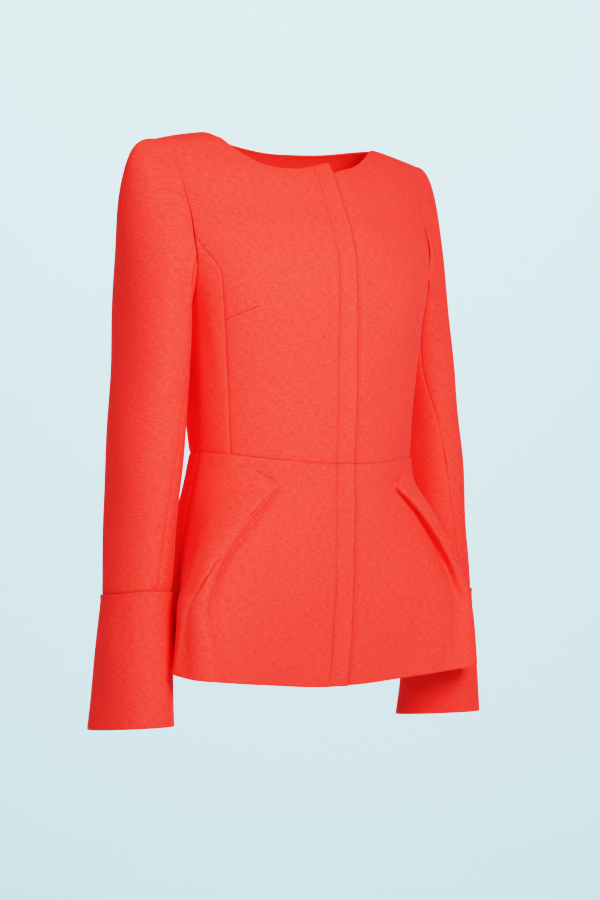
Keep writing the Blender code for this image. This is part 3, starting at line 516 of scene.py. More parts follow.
def sewCloth(name, grid, edges, closed=False, extra=None):
    # edge lines, rolled edges, creases and thickness; edges names the kind of top, bottom, first
    # and last edge, and extra gives one more offset from the grid and its distances to the edges
    grid = addEdgeLines(grid, 0)
    if not closed:
        grid = addEdgeLines(grid, 1)
    ends = wrapped(grid) if closed else grid
    fromFirst, fromLast = lengthsAlong(ends, 1)
    distances = list(lengthsAlong(grid, 0))
    if not closed:
        distances += [fromFirst, fromLast]
    offset = wobbleAt(grid) - rolledEdges(grid, edges, distances)
    for line in creases.get(name, []):
        offset = offset + crease(grid, *line)
    if extra is not None:
        offset = offset + extra(grid, distances)
    points = grid + offset[..., None] * outward(grid, closed)
    half = halfThickness(grid, distances)[..., None] * outward(points, closed)
    rows, columns = points.shape[:2]
    count = rows * columns
    index = np.arange(count).reshape(rows, columns)
    if closed:
        index = wrapped(index)
        uv = stack(0.5 * (fromFirst - fromLast), -lengthsAlong(ends, 0)[0])
    else:
        middle = columns // 2 if name.startswith("sleeve") else np.abs(grid[..., 0]).mean(axis=0).argmin()
        uv = straightGrain(grid, outward(grid), middle)
    uvIndex = np.arange(uv.shape[0] * uv.shape[1]).reshape(uv.shape[:2])
    faces = np.concatenate([quads(index), quads(index)[:, ::-1] + count, rimQuads(index, count, closed)])
    uvFaces = np.concatenate([quads(uvIndex), quads(uvIndex)[:, ::-1], rimQuads(uvIndex, 0, closed)])
    vertices = np.concatenate([(points + half).reshape(-1, 3), (points - half).reshape(-1, 3)])
    piece = putMesh(name + "_cloth", vertices, faces, crepe)
    layer = piece.data.uv_layers.new(name="weave")
    layer.data.foreach_set("uv", uv.reshape(-1, 2)[uvFaces].astype(np.float32).ravel())
    line = piece.data.attributes.new("seamAndPaintedShadowLine", "FLOAT_VECTOR", "POINT")
    across = seamAndPaintedShadowLine(name, points, distances).ravel()
    line.data.foreach_set("vector", np.tile(across, 2).astype(np.float32))
    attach(piece, "root")
    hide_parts(name)
    print(name, "faces", len(faces))


def putMesh(name, vertices, faces, material):
    # arrays into a smooth mesh object at the origin
    mesh = bpy.data.meshes.new(name)
    mesh.from_pydata(vertices.tolist(), [], faces.tolist())
    mesh.update()
    mesh.shade_smooth()
    mesh.materials.append(material)
    piece = bpy.data.objects.new(name, mesh)
    bpy.context.scene.collection.objects.link(piece)
    return piece


def setInputs(tree, node, inputs):
    # each input of a node set to a value, or linked from another node's output
    for key, value in inputs.items():
        if isinstance(value, bpy.types.NodeSocket):
            tree.links.new(value, node.inputs[key])
        else:
            node.inputs[key].default_value = value


def addNode(tree, kind, inputs, operation=None):
    # a new node with its inputs
    node = tree.nodes.new(kind)
    if operation:
        node.operation = operation
    setInputs(tree, node, inputs)
    return node


def newMaterial(name, inputs):
    # a material, its node tree and its shader with these inputs
    material = bpy.data.materials.new(name)
    material.use_nodes = True
    shader = material.node_tree.nodes["Principled BSDF"]
    setInputs(material.node_tree, shader, inputs)
    return material, material.node_tree, shader


# crepe: pebbly noise and faint slubs along both threads
crepeLook = {
    "colour": (0.94, 0.032, 0.023), "deep": (0.82, 0.019, 0.016), "pale": (0.98, 0.044, 0.032),
    "deepAt": 0.36, "paleAt": 0.64,
    "pebbles": 1300.0, "threads": 680.0, "slubs": 150.0,
    "pebbleDetail": 3.0, "threadDetail": 2.0, "noiseRough": 0.6,
    "warpShare": 0.4, "threadHeight": 0.45, "pebbleTint": 0.25,
    # the dark line colour: the seams' own colour on darts and the stitch line, painted shadow on the band's
    # free edge and painted shade on the cuff edges
    "bump": 0.45, "bumpHeight": 0.00025, "lineWidth": 0.0006, "line": (0.30, 0.004, 0.008),
    "rough": 0.86, "roughSpread": 0.08, "specular": 0.15,
    "sheen": 0.06, "sheenRough": 0.45, "sheenTint": (1.0, 0.45, 0.40),
}


def weaveGroup():
    # pebbles plus two stretched noises, one along each thread; puts out a height and a tint from 0 to 1
    look = crepeLook
    group = bpy.data.node_groups.new("crepeWeave", "ShaderNodeTree")
    group.interface.new_socket("Vector", in_out="INPUT", socket_type="NodeSocketVector")
    for name in ("Pebbles", "Threads", "Slubs"):
        group.interface.new_socket(name, in_out="INPUT", socket_type="NodeSocketFloat")
    for name in ("Height", "Tint"):
        group.interface.new_socket(name, in_out="OUTPUT", socket_type="NodeSocketFloat")
    start = group.nodes.new("NodeGroupInput")

    def noise(alongU, alongV, detail):
        axes = {"X": start.outputs[alongU], "Y": start.outputs[alongV]}
        scale = addNode(group, "ShaderNodeCombineXYZ", axes)
        place = {0: start.outputs["Vector"], 1: scale.outputs["Vector"]}
        times = addNode(group, "ShaderNodeVectorMath", place, "MULTIPLY")
        node = addNode(group, "ShaderNodeTexNoise", {
            "Vector": times.outputs["Vector"],
            "Scale": 1.0, "Detail": detail, "Roughness": look["noiseRough"],
        })
        return node.outputs["Fac"]

    def mix(first, second, share):
        node = addNode(group, "ShaderNodeMix", {"Factor": share, "A": first, "B": second})
        return node.outputs["Result"]

    grain = noise("Pebbles", "Pebbles", look["pebbleDetail"])
    weft = noise("Slubs", "Threads", look["threadDetail"])
    warp = noise("Threads", "Slubs", look["threadDetail"])
    crossed = mix(weft, warp, look["warpShare"])
    addNode(group, "NodeGroupOutput", {
        "Height": mix(grain, crossed, look["threadHeight"]),
        "Tint": mix(crossed, grain, look["pebbleTint"]),
    })
    return group


def crepeMaterial():
    # matt red; tint from the weave, a thin darker line along darts and the stitch line, painted shade along
    # the band's free edge and the cuff edges, bump from the weave
    look = crepeLook
    material, tree, shader = newMaterial("coralCrepe", {
        "Metallic": 0.0, "Specular IOR Level": look["specular"], "Sheen Weight": look["sheen"],
        "Sheen Roughness": look["sheenRough"], "Sheen Tint": (*look["sheenTint"], 1.0),
    })
    place = tree.nodes.new("ShaderNodeUVMap")
    place.uv_map = "weave"
    weave = tree.nodes.new("ShaderNodeGroup")
    weave.node_tree = weaveGroup()
    setInputs(tree, weave, {
        "Pebbles": look["pebbles"], "Threads": look["threads"], "Slubs": look["slubs"],
        "Vector": place.outputs["UV"],
    })
    tint = addNode(tree, "ShaderNodeValToRGB", {"Fac": weave.outputs["Tint"]})
    ramp = tint.color_ramp.elements
    ramp[0].position, ramp[0].color = look["deepAt"], (*look["deep"], 1.0)
    ramp[1].position, ramp[1].color = look["paleAt"], (*look["pale"], 1.0)
    ramp.new(0.5 * (look["deepAt"] + look["paleAt"])).color = (*look["colour"], 1.0)
    # distances to the seam lines and to the painted shade lines
    line = tree.nodes.new("ShaderNodeAttribute")
    line.attribute_name = "seamAndPaintedShadowLine"
    apart = addNode(tree, "ShaderNodeVectorMath", {0: line.outputs["Vector"]}, "LENGTH")
    near = addNode(tree, "ShaderNodeMapRange", {
        "Value": apart.outputs["Value"], "From Max": look["lineWidth"], "To Min": 1.0, "To Max": 0.0,
    })
    near.interpolation_type = "SMOOTHSTEP"
    # mixes in the dark line: seam colour, or painted shade at the band and cuff edges
    shade = tree.nodes.new("ShaderNodeMix")
    shade.data_type = "RGBA"
    colours = {socket.name: socket for socket in shade.inputs if socket.type == "RGBA"}
    colours["B"].default_value = (*look["line"], 1.0)
    tree.links.new(tint.outputs["Color"], colours["A"])
    tree.links.new(near.outputs["Result"], shade.inputs["Factor"])
    mixed = [socket for socket in shade.outputs if socket.type == "RGBA"][0]
    rough = addNode(tree, "ShaderNodeMapRange", {
        "Value": weave.outputs["Tint"],
        "To Min": look["rough"] - look["roughSpread"], "To Max": look["rough"] + look["roughSpread"],
    })
    sunk = {0: weave.outputs["Height"], 1: near.outputs["Result"]}
    bump = addNode(tree, "ShaderNodeBump", {
        "Strength": look["bump"], "Distance": look["bumpHeight"],
        "Height": addNode(tree, "ShaderNodeMath", sunk, "SUBTRACT").outputs["Value"],
    })
    setInputs(tree, shader, {
        "Base Color": mixed, "Roughness": rough.outputs["Result"], "Normal": bump.outputs["Normal"],
    })
    return material


crepe = crepeMaterial()
print("crepe ready")

# fronts of the bodice
fronts = {"neckSteps": 1601, "neckCells": 44, "shoulderCells": 20, "upCells": (56, 44, 8)}


def neckCurve(startX, left, cells):
    # the neckline in width and level, evenly spaced along the cloth
    x = np.linspace(startX, neck["half"], fronts["neckSteps"])
    level = levelAtDrop(neckDepth(x, left))
    walked = walkedLength(bodicePoint(turnAt(x, level), level))
    return readAlong(np.linspace(0.0, walked[-1], cells + 1), walked, stack(x, level))


def bandLift(grid):
    # how far the right front and peplum stand out: full at the band, fading by a smooth step away from it
    return band["lift"] * (1.0 - smoothStep((grid[..., 0] - band["half"]) / band["liftReach"]))


def frontGrid(startX, left):
    # neckline, shoulder, closing edge, waist and side edge filled in; the right front rises to the band
    right = sideEdge("front", armholeCut["frontJunction"], fronts["upCells"])
    neckLine = neckCurve(startX, left, fronts["neckCells"])
    top = np.concatenate([neckLine, straight(neckLine[-1], right[-1], fronts["shoulderCells"])[1:]])
    rise = (right[:, 1] - right[0, 1]) / (right[-1, 1] - right[0, 1])
    closing = stack(startX, 1.0 + (top[0, 1] - 1.0) * rise)
    waist = straight(closing[0], right[0], len(top) - 1)
    domain = settleInside(fillBetween(waist, top, closing, right))[::-1]
    turn = turnAt(domain[..., 0], domain[..., 1])
    grid = bodicePoint(turn, domain[..., 1])
    if not left:
        grid = grid + bandLift(grid)[..., None] * bodiceOut(turn, domain[..., 1])
    return grid


def leftRecess(grid, distances):
    # the left front sinks a little beside the free edge of the band
    return -band["recess"] * bell(grid[..., 0] - band["recessAt"], band["recessWidth"])


def makeFronts():
    # the left front runs on under the band, the right one ends at it
    left = frontGrid(-band["half"] - band["underlap"], True)
    right = frontGrid(band["half"], False)
    sewCloth("front_left", left, ("free", "seam", "free", "seam"), extra=leftRecess)
    sewCloth("front_right", mirrored(right), ("free", "seam", "seam", "join"))


# closing band over the left front
band = {
    "half": 0.0125, "lift": 0.0021, "liftReach": 0.060, "underlap": 0.004,
    "spring": 0.0024, "springWidth": 0.009, "uneven": 0.25, "unevenWaves": (38.0, 0.6, 17.0),
    "recess": 0.0018, "recessAt": 0.0165, "recessWidth": 0.0045,
    # the edge line is a painted shadow along the band's free edge; the stitch line is the seam's own dark
    # line
    "paintedEdgeShadow": 0.26, "stitchShade": 1.3,  # below 1 a dark line is wider, above 1 narrower
    "across": 12, "up": 150, "down": 110,  # cells
}
stitch = {
    "length": 0.0023, "step": 0.0031, "radius": 0.00024, "inset": 0.0014, "ends": 0.004,
    "sides": 6, "rings": 4, "rise": 0.0009,
    "sunk": 0.25, "slim": 0.35, "swell": 0.5,  # rise and radius left at a stitch's ends, power of its sine
    "deep": (0.50, 0.012, 0.014), "pale": (0.74, 0.035, 0.028), "twist": 2400.0, "rough": 0.6,
}


def bandSpring(grid, distances):
    # the free edge of the band stands off the left front, unevenly by a product of two waves
    height = grid[..., 2]
    first, phase, second = band["unevenWaves"]
    waves = np.sin(first * height + phase) * np.cos(second * height)
    uneven = 1.0 - band["uneven"] + band["uneven"] * waves
    return band["spring"] * uneven * bell(distances[3], band["springWidth"])


def makeBand():
    # the neckline runs on past the middle line; rows follow it down to the waist and on to the hem
    x = np.linspace(-band["half"], band["half"], band["across"] + 1)
    top = levelAtDrop(neckDepth(-x, False))
    level = top + (1.0 - top) * shares(band["up"])[:, None]
    turn = turnAt(x, level)
    upper = bodicePoint(turn, level) + band["lift"] * bodiceOut(turn, level)
    sewCloth("band_bodice", upper, ("free", "seam", "join", "free"), extra=bandSpring)
    paths = [peplumPath(fall) for fall in shares(band["down"])]
    lift = np.full(x.shape, band["lift"])
    lower = np.stack([onPath(path, np.interp(x, path[2][:, 0], path[1]), lift) for path in paths])
    sewCloth("band_peplum", lower, ("seam", "free", "join", "free"), extra=bandSpring)
    return upper, lower


# side panels and back
panels = {"side": 36, "backNeck": 44, "backShoulder": 20}


def makeSides():
    # patch in turn and level between both seams, the armhole above and the waist below
    seamCells = fronts["upCells"][0]
    first = seamUp("front", armholeCut["frontJunction"], seamCells)
    last = seamUp("back", armholeCut["backJunction"], seamCells)
    angle = np.linspace(armholeCut["frontJunction"], 360.0 + armholeCut["backJunction"], panels["side"] + 1)
    top = stack(*armhole(np.where(angle > 180.0, angle - 360.0, angle)))
    waist = straight(first[0], last[0], panels["side"])
    domain = fillBetween(waist, top, first, last)[::-1]
    grid = bodicePoint(domain[..., 0], domain[..., 1])
    sewCloth("side_left", grid, ("seam", "seam", "seam", "seam"))
    sewCloth("side_right", mirrored(grid), ("seam", "seam", "seam", "seam"))


def makeBack():
    # both shoulders, the shallow back neck and both side edges filled in
    left = sideEdge("back", armholeCut["backJunction"], fronts["upCells"])
    right = left * np.array([-1.0, 1.0])
    x = neck["half"] * np.cos(np.linspace(0.0, np.pi, panels["backNeck"] + 1))
    neckLine = stack(x, levelAtDrop(bodice["backNeck"] * (1.0 - (x / neck["half"]) ** 2)))
    shoulder = straight(left[-1], neckLine[0], panels["backShoulder"])
    top = np.concatenate([shoulder, neckLine[1:], (shoulder * np.array([-1.0, 1.0]))[::-1][1:]])
    waist = straight(left[0], right[0], len(top) - 1)
    domain = settleInside(fillBetween(waist, top, left, right))[::-1]
    grid = bodicePoint(turnAt(domain[..., 0], domain[..., 1], behind=True), domain[..., 1])
    sewCloth("back", grid, ("free", "seam", "seam", "seam"))


# peplum: plain sections by fall from waist to hem, then the folded pleat
peplum = {
    "at": (0.0, 0.11, 0.25, 0.50, 0.75, 1.0),
    "drop": (0.356, 0.3825, 0.4155, 0.4735, 0.530, 0.5865),
    "cornerWidth": (0.136, 0.142, 0.151, 0.167, 0.177, 0.181),
    "sideWidth": (0.136, 0.142, 0.149, 0.156, 0.160, 0.163),
    "front": (0.0825, 0.083, 0.084, 0.085, 0.0835, 0.0785),
    "back": (0.0825, 0.088, 0.096, 0.106, 0.113, 0.118),
    "middle": (-0.0223, -0.0215, -0.0195, -0.0165, -0.014, -0.012),
    "frontSquare": (2.15, 2.0, 2.5, 3.6, 5.5, 8.0),
    "wing": (0.0, 0.0, 0.002, 0.010, 0.015, 0.018),
    "backSquare": 2.1, "hemDip": 0.0270, "wingFade": 2.0,
    "pathStart": -20.0, "pathSteps": 601, "sideHair": 0.01,
    "crowd": 1.25, "rows": 96, "frontCells": 30, "arcCells": 18, "straightCells": 6, "flapCells": 42,
    "backCells": (110, 60),
}
pleat = {  # the fold's edge as an angle from the front, and the two arcs and straight piece that make it
    "at": (0.0, 0.06, 0.115, 0.17, 0.25, 0.33, 0.42, 0.53, 0.66, 0.80, 1.0),
    "edgeAt": (61.7, 46.5, 34.0, 38.0, 43.0, 46.6, 49.7, 52.3, 53.0, 50.5, 46.0),
    "foldTurn": (8.0, 35.0, 88.0, 145.0, 158.0, 155.0, 145.0, 122.0, 88.0, 58.0, 36.0),
    "standOff": (0.0005, 0.0016, 0.0038, 0.0080, 0.0104, 0.0118, 0.0120, 0.0125, 0.0125, 0.0120, 0.0115),
    "straight": (0.0010, 0.0012, 0.0008, 0.0029, 0.0055, 0.0066, 0.0064, 0.0050, 0.0040, 0.0038, 0.0038),
    "bulge": (0.0, 0.0005, 0.0020, 0.0035, 0.0045, 0.0052, 0.0060, 0.0060, 0.0060, 0.0040, 0.0020),
    "bulgeLean": 0.6, "flapLean": 0.75,
}


def peplumPoint(turn, fall):
    # superellipse sections; the front corners are wider than the side seams and carried forward
    form = readAll(peplum, fall)
    side, ahead = roundedSection(turn, form["frontSquare"], peplum["backSquare"])
    inFront = np.cos(turn) > 0.0
    x = np.where(inFront, form["cornerWidth"], form["sideWidth"]) * side
    y = form["middle"] - np.where(inFront, form["front"], form["back"]) * ahead
    y = y - form["wing"] * side ** 2 * smoothStep(peplum["wingFade"] * ahead)
    dip = bodice["waistDip"] + (peplum["hemDip"] - bodice["waistDip"]) * fall
    return stack(x, y, -form["drop"] - dip * np.clip(np.cos(turn), 0.0, 1.0) ** 2)


def peplumPath(fall):
    # one plain section over the front: turn, length walked, points and outward direction
    turn = np.radians(np.linspace(peplum["pathStart"], 90.0 - peplum["sideHair"], peplum["pathSteps"]))
    points = peplumPoint(turn, np.full(turn.shape, fall))
    way = unit(np.gradient(points[:, :2], axis=0))
    return turn, walkedLength(points[:, :2]), points, stack(way[:, 1], -way[:, 0], 0.0)


def onPath(path, place, standOff):
    # points at lengths along a path, moved out
    _, length, points, out = path
    return readAlong(place, length, points) + readAlong(place, length, out) * standOff[:, None]


def foldProfile(turn, edgeRise, straightPart):
    # run and rise about the fold's edge: an arc out, a straight piece and an arc back
    edgeAngle = min(turn, 0.5 * np.pi)
    radius = (edgeRise - straightPart * np.sin(turn)) / (1.0 - 2.0 * np.cos(turn) + np.cos(edgeAngle))
    angle = np.linspace(0.0, turn, peplum["arcCells"] + 1)
    arc = radius * stack(np.sin(angle), 1.0 - np.cos(angle))
    along = np.linspace(0.0, straightPart, peplum["straightCells"] + 1)[:, None]
    middle = arc[-1] + along * np.array([np.cos(turn), np.sin(turn)])
    back = middle[-1] + (arc[-1] - arc[::-1])
    run, rise = np.concatenate([arc, middle[1:-1], back]).T
    return run - (middle[-1, 0] + radius * (np.sin(turn) - np.sin(edgeAngle))), rise


def peplumRow(fall, startX):
    # flat front, fold, and the flap that settles back to the side seam
    path = peplumPath(fall)
    turn, length, points, _ = path
    fold = readAll(pleat, fall)
    run, rise = foldProfile(np.radians(fold["foldTurn"]), fold["standOff"], fold["straight"])
    edge = np.interp(np.radians(fold["edgeAt"]), turn, length)
    front = np.linspace(np.interp(startX, points[:, 0], length), edge + run[0], peplum["frontCells"] + 1)
    side = np.linspace(edge + run[-1], length[-1], peplum["flapCells"] + 1)
    settle = shares(peplum["flapCells"])
    pinch = points[-1, 0] - readTable(peplum, "sideWidth", fall)
    flap = rise[-1] - (rise[-1] + pinch) * smoothStep(settle ** pleat["flapLean"])
    flap = flap + fold["bulge"] * np.sin(np.pi * settle ** pleat["bulgeLean"])
    place = np.concatenate([front[:-1], edge + run, side[1:]])
    standOff = np.concatenate([np.zeros(peplum["frontCells"]), rise, flap[1:]])
    return onPath(path, place, standOff)


def makePeplum():
    # front pieces row by row, closer near the waist; the back is its plain section
    falls = shares(peplum["rows"]) ** peplum["crowd"]
    left = np.stack([peplumRow(fall, -band["half"] - band["underlap"]) for fall in falls])
    sewCloth("peplum_front_left", left, ("seam", "free", "free", "seam"), extra=leftRecess)
    right = np.stack([peplumRow(fall, band["half"]) for fall in falls])
    right = right + bandLift(right)[..., None] * outward(right)
    sewCloth("peplum_front_right", mirrored(right), ("seam", "free", "seam", "join"))
    across, down = peplum["backCells"]
    first = np.radians(90.0 + peplum["sideHair"])
    turn = np.linspace(first, 2.0 * np.pi - first, across + 1)
    back = peplumPoint(turn, shares(down)[:, None])
    sewCloth("peplum_back", back, ("seam", "free", "seam", "seam"))


# two-piece sleeves and deep cuffs
arm = {
    "at": (-0.5165, -0.4515, -0.343, -0.245),
    "centreX": (0.2088, 0.2025, 0.192, 0.183),
    "centreY": (-0.0055, -0.003, 0.0, 0.004),
    "outer": (0.0315, 0.0335, 0.0355, 0.035),
    "inner": (0.0335, 0.034, 0.033, 0.031),
    "front": (0.047, 0.0495, 0.0535, 0.055),
    "back": (0.041, 0.044, 0.051, 0.056),
    "innerSquare": (2.0, 2.2, 2.5, 2.8),
    "outerSquare": 2.15, "clear": 0.0001, "underarmClear": 0.0020,
    "capSpread": 0.140, "capBack": 0.25, "capFall": 2.1, "capPart": 0.45,
    "rise": 0.007, "riseStart": -0.20, "riseRun": 0.30,  # the right arm is the higher one
    "tilt": 0.085, "tiltStart": -0.36, "tiltRun": 0.15,
    "capCells": 44, "armCells": 56, "topCells": 72, "underCells": 34,
    "puff": 0.0002, "puffWidth": 0.007, "tuck": 0.0009, "tuckWidth": 0.003,
}
armSeams = {
    "at": (0.0, 0.45, 0.65, 0.85, 1.0),
    "front": (128.0, 134.0, 109.0, 96.0, 91.0),
    "back": (232.0, 236.0, 234.0, 230.0, 226.0),
}
cuff = {
    "at": (-0.661, -0.620, -0.570, -0.5165),
    "centreX": (0.211, 0.2105, 0.2095, 0.2088),
    "centreY": (-0.001, -0.003, -0.0045, -0.0055),
    "outer": (0.0418, 0.0388, 0.0357, 0.0327),
    "inner": (0.0415, 0.0385, 0.036, 0.0347),
    "front": (0.0605, 0.057, 0.053, 0.0482),
    "back": (0.055, 0.0505, 0.046, 0.0422),
    "innerSquare": (2.0, 2.0, 2.0, 2.0),
    "around": 132, "down": 46, "overlap": 0.0016, "lip": 0.0009, "lipWidth": 0.004,
    "topWave": 0.0006, "waves": 3.0, "wavePhase": 0.8, "waveFade": 0.02,
    # widths of the painted shade lines along the top edge and the hem
    "paintedTopShade": 0.45, "paintedHemShade": 0.9,
}


def armRing(table, height, angle):
    # superellipse ring; angle 0 looks outward, 90 to the front, 180 to the body
    form = readAll(table, height)
    away, ahead = np.cos(angle), np.sin(angle)
    reach = superReach(away, ahead, np.where(away > 0.0, arm["outerSquare"], form["innerSquare"]))
    x = form["centreX"] + np.where(away > 0.0, form["outer"], form["inner"]) * away / reach
    y = form["centreY"] - np.where(ahead > 0.0, form["front"], form["back"]) * ahead / reach
    return stack(x, y, height)


def sleevePoint(angle, down):
    # a cubic from each armhole point out over the shoulder to the first ring, then rings down to the cuff
    first, last = arm["at"][-1], arm["at"][0]
    degrees = np.degrees(angle) % 360.0
    signed = np.where(degrees > 180.0, degrees - 360.0, degrees)
    turn, level = armhole(np.where(np.abs(signed) < armholeCut["hair"], armholeCut["hair"], signed))
    low = np.sin(0.5 * angle) ** 2
    start = bodicePoint(turn, level)
    start[..., 0] += arm["clear"] + arm["underarmClear"] * low ** 4
    end = armRing(arm, np.full(angle.shape, first), angle)
    along = unit(armRing(arm, np.full(angle.shape, arm["at"][-2]), angle) - end)
    gap = np.linalg.norm(end - start, axis=-1)
    head = stack(1.0, arm["capBack"] * (1.0 - low), 0.0)
    startWay = (arm["capSpread"] * (1.0 - low))[..., None] * head + (gap * low)[..., None] * along
    endWay = (arm["capFall"] * gap)[..., None] * along
    s = np.clip(down / arm["capPart"], 0.0, 1.0)[..., None]
    cap = cubic(s, start, startWay, end, endWay)
    height = first + (last - first) * np.clip((down - arm["capPart"]) / (1.0 - arm["capPart"]), 0.0, 1.0)
    return np.where((down > arm["capPart"])[..., None], armRing(arm, height, angle), cap)


def raised(grid):
    # the right sleeve sits a little higher from the elbow down
    lift = arm["rise"] * smoothStep((arm["riseStart"] - grid[..., 2]) / arm["riseRun"])
    return grid + stack(0.0, 0.0, lift)


def tilted(grid):
    # the forearm leans forward, so its rings tilt: higher in front, lower behind
    share = smoothStep((arm["tiltStart"] - grid[..., 2]) / arm["tiltRun"])
    return grid + stack(0.0, 0.0, arm["tilt"] * (arm["centreY"][0] - grid[..., 1]) * share)


def sleeveEnds(grid, distances):
    # the eased head stands up just past the armhole seam, the other end tucks under the cuff
    near = distances[0] / arm["puffWidth"]
    return arm["puff"] * near * np.exp(1.0 - near) - arm["tuck"] * bell(distances[1], arm["tuckWidth"])


def makeSleeves():
    # top and under half between both arm seams, the right sleeve as a mirrored one
    cap = np.linspace(0.0, arm["capPart"], arm["capCells"] + 1)
    down = np.concatenate([cap, np.linspace(arm["capPart"], 1.0, arm["armCells"] + 1)[1:]])
    frontSeam, backSeam = readTable(armSeams, "front", down), readTable(armSeams, "back", down)
    edges = ("join", "join", "seam", "seam")
    for half, start, end, cells in (("top", frontSeam, backSeam - 360.0, arm["topCells"]),
                                    ("under", backSeam, frontSeam, arm["underCells"])):
        angle = np.radians(start[:, None] + (end - start)[:, None] * shares(cells))
        grid = tilted(sleevePoint(angle, np.broadcast_to(down[:, None], angle.shape)))
        sewCloth("sleeve_" + half + "_left", grid, edges, extra=sleeveEnds)
        sewCloth("sleeve_" + half + "_right", mirrored(raised(grid)), edges, extra=sleeveEnds)


def cuffLip(grid, distances):
    # the top edge of a cuff lies over the end of the sleeve
    return cuff["lip"] * bell(distances[0], cuff["lipWidth"])


def makeCuffs():
    # one closed flared band each; its top edge waves a little
    angle = np.linspace(2.0 * np.pi, 0.0, cuff["around"], endpoint=False)
    top = cuff["at"][-1] + cuff["overlap"]
    height = np.linspace(top, cuff["at"][0], cuff["down"] + 1)[:, None]
    fade = np.clip((height - top + cuff["waveFade"]) / cuff["waveFade"], 0.0, 1.0)
    wave = cuff["topWave"] * fade * (1.0 + np.sin(cuff["waves"] * angle + cuff["wavePhase"]))
    grid = tilted(armRing(cuff, height, angle) - stack(0.0, 0.0, wave))
    sewCloth("cuff_left", grid, ("free", "free"), closed=True, extra=cuffLip)
    sewCloth("cuff_right", mirrored(raised(grid)), ("free", "free"), closed=True, extra=cuffLip)


makeFronts()
bandGrids = makeBand()
makeSides()
makeBack()
makePeplum()
makeSleeves()
makeCuffs()
print("cloth pieces made")


# thread along the inner edge of the closing band
def threadMaterial():
    # red thread with a fine twist seen as spots of tint
    material, tree, shader = newMaterial("redThread", {"Roughness": stitch["rough"]})
    place = tree.nodes.new("ShaderNodeTexCoord")
    twist = {"Scale": stitch["twist"], "Vector": place.outputs["Object"]}
    noise = addNode(tree, "ShaderNodeTexNoise", twist)
    tint = addNode(tree, "ShaderNodeValToRGB", {"Fac": noise.outputs["Fac"]})
    for element, name in zip(tint.color_ramp.elements, ("deep", "pale")):
        element.color = (*stitch[name], 1.0)
    setInputs(tree, shader, {"Base Color": tint.outputs["Color"]})
    return material


def makeStitches(name, grid, material):
    # each stitch is a short tube that rises and sinks as a half sine along its length
    share = stitch["inset"] / (2.0 * band["half"]) * (grid.shape[1] - 1)
    low = int(share)
    path = grid[:, low] + (grid[:, low + 1] - grid[:, low]) * (share - low)
    length = walkedLength(path)
    begin = np.arange(stitch["ends"], length[-1] - stitch["ends"], stitch["step"])[:, None]
    s = shares(stitch["rings"])
    at = begin + stitch["length"] * s
    centre = readAlong(at, length, path)
    up = readAlong(at, length, outward(grid)[:, low])
    side = np.cross(unit(np.gradient(centre, axis=1)), up)
    swell = np.sin(np.pi * s) ** stitch["swell"]
    centre = centre + up * (stitch["rise"] * (stitch["sunk"] + (1.0 - stitch["sunk"]) * swell))[:, None]
    radius = stitch["radius"] * (stitch["slim"] + (1.0 - stitch["slim"]) * swell)[:, None, None]
    around = np.linspace(0.0, 2.0 * np.pi, stitch["sides"], endpoint=False)[:, None]
    ring = np.cos(around) * side[:, :, None, :] + np.sin(around) * up[:, :, None, :]
    points = centre[:, :, None, :] + radius * ring
    index = np.arange(points[..., 0].size).reshape(points.shape[:3])
    turned = np.roll(index, -1, axis=2)
    faces = np.stack([index[:, :-1], turned[:, :-1], turned[:, 1:], index[:, 1:]], axis=-1)
    piece = putMesh(name + "_stitches", points.reshape(-1, 3), faces.reshape(-1, 4), material)
    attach(piece, "root")


thread = threadMaterial()
for name, grid in zip(("band_bodice", "band_peplum"), bandGrids):
    makeStitches(name, grid, thread)
print("stitches made")

# studio: a pale floor that rises into a round wall, soft lights and the camera
studio = {
    "floor": -1.42, "flat": 3.7, "bend": 1.5, "wall": 3.2, "hole": 0.00002,
    "flatRings": 12, "bendRings": 24, "around": 96,
    "colour": (0.54, 0.79, 0.87), "glow": 0.15, "rough": 0.95, "specular": 0.1,
    "world": (0.86, 0.93, 0.97), "worldStrength": 0.12,
    "lights": {  # place, aim, size and power
        "keyLight": ((-0.22, -1.42, 0.10), (0.0, 0.0, -0.30), 0.55, 43.0),
        "leftLight": ((-2.30, -1.35, 1.20), (0.0, 0.0, -0.20), 0.6, 50.0),
        "rightLight": ((2.20, -1.60, 1.90), (0.0, 0.0, -0.33), 1.6, 5.0),
        "backLight": ((1.70, 1.95, -0.25), (0.0, 0.0, -0.33), 0.8, 85.0),
        "wallLight": ((1.45, 2.05, 1.70), (3.20, 4.60, -0.20), 1.6, 95.0),
    },
}


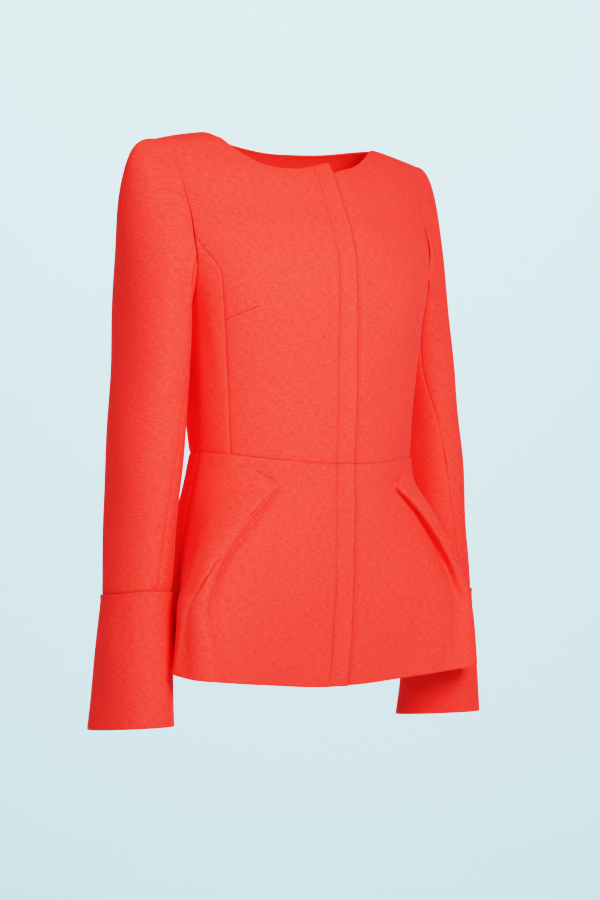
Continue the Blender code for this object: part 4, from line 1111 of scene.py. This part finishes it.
def makeStudio():
    # profile of radius and height turned once round the middle: flat, quarter circle, wall
    angle = np.linspace(0.0, 0.5 * np.pi, studio["bendRings"] + 1)[1:]
    flat = np.linspace(studio["hole"], studio["flat"], studio["flatRings"])
    radius = np.concatenate([flat, studio["flat"] + studio["bend"] * np.sin(angle)])
    height = np.concatenate([0.0 * flat, studio["bend"] * (1.0 - np.cos(angle))])
    radius = np.append(radius, radius[-1])[:, None]
    height = np.append(height, studio["wall"])[:, None] + studio["floor"]
    turn = np.linspace(0.0, 2.0 * np.pi, studio["around"], endpoint=False)
    points = stack(radius * np.cos(turn), radius * np.sin(turn), height)
    index = np.arange(points[..., 0].size).reshape(points.shape[:2])
    colour = (*studio["colour"], 1.0)
    paper = newMaterial("palePaper", {
        "Base Color": colour, "Roughness": studio["rough"], "Specular IOR Level": studio["specular"],
        "Emission Color": colour, "Emission Strength": studio["glow"],
    })[0]
    putMesh("studio_floor", points.reshape(-1, 3), quads(wrapped(index)), paper)
    world = bpy.data.worlds.new("studioWorld")
    world.use_nodes = True
    setInputs(world.node_tree, world.node_tree.nodes["Background"], {
        "Color": (*studio["world"], 1.0), "Strength": studio["worldStrength"],
    })
    bpy.context.scene.world = world


def makeLights():
    # area lamps that face their aims; the camera doesn't see them, so the views from behind stay clear
    for name, (place, aim, size, power) in studio["lights"].items():
        light = bpy.data.lights.new(name, "AREA")
        light.size = size
        light.energy = power
        lamp = bpy.data.objects.new(name, light)
        back = np.array(place) - np.array(aim)
        lean = np.arctan2(np.hypot(back[0], back[1]), back[2])
        lamp.location = place
        lamp.rotation_euler = (lean, 0.0, np.arctan2(back[0], -back[1]))
        lamp.visible_camera = False
        bpy.context.scene.collection.objects.link(lamp)


photoCamera = {
    "place": (-1.4144, -2.0199, -0.4026), "turn": -35.0, "lens": 86.8, "sensor": 36.0,
    "shift": (10.0 / 900.0, 45.0 / 900.0),
}


def makeCamera():
    # level camera with a shifted lens, as solved from the photo
    camera = bpy.data.cameras.new("photoCamera")
    camera.lens = photoCamera["lens"]
    camera.sensor_width = photoCamera["sensor"]
    camera.shift_x, camera.shift_y = photoCamera["shift"]
    holder = bpy.data.objects.new("photoCamera", camera)
    holder.location = photoCamera["place"]
    holder.rotation_euler = (0.5 * np.pi, 0.0, np.radians(photoCamera["turn"]))
    bpy.context.scene.collection.objects.link(holder)
    bpy.context.scene.camera = holder


makeStudio()
makeLights()
makeCamera()
bpy.context.scene.view_settings.view_transform = "Filmic"
bpy.context.scene.view_settings.look = "Very High Contrast"
print("studio ready")
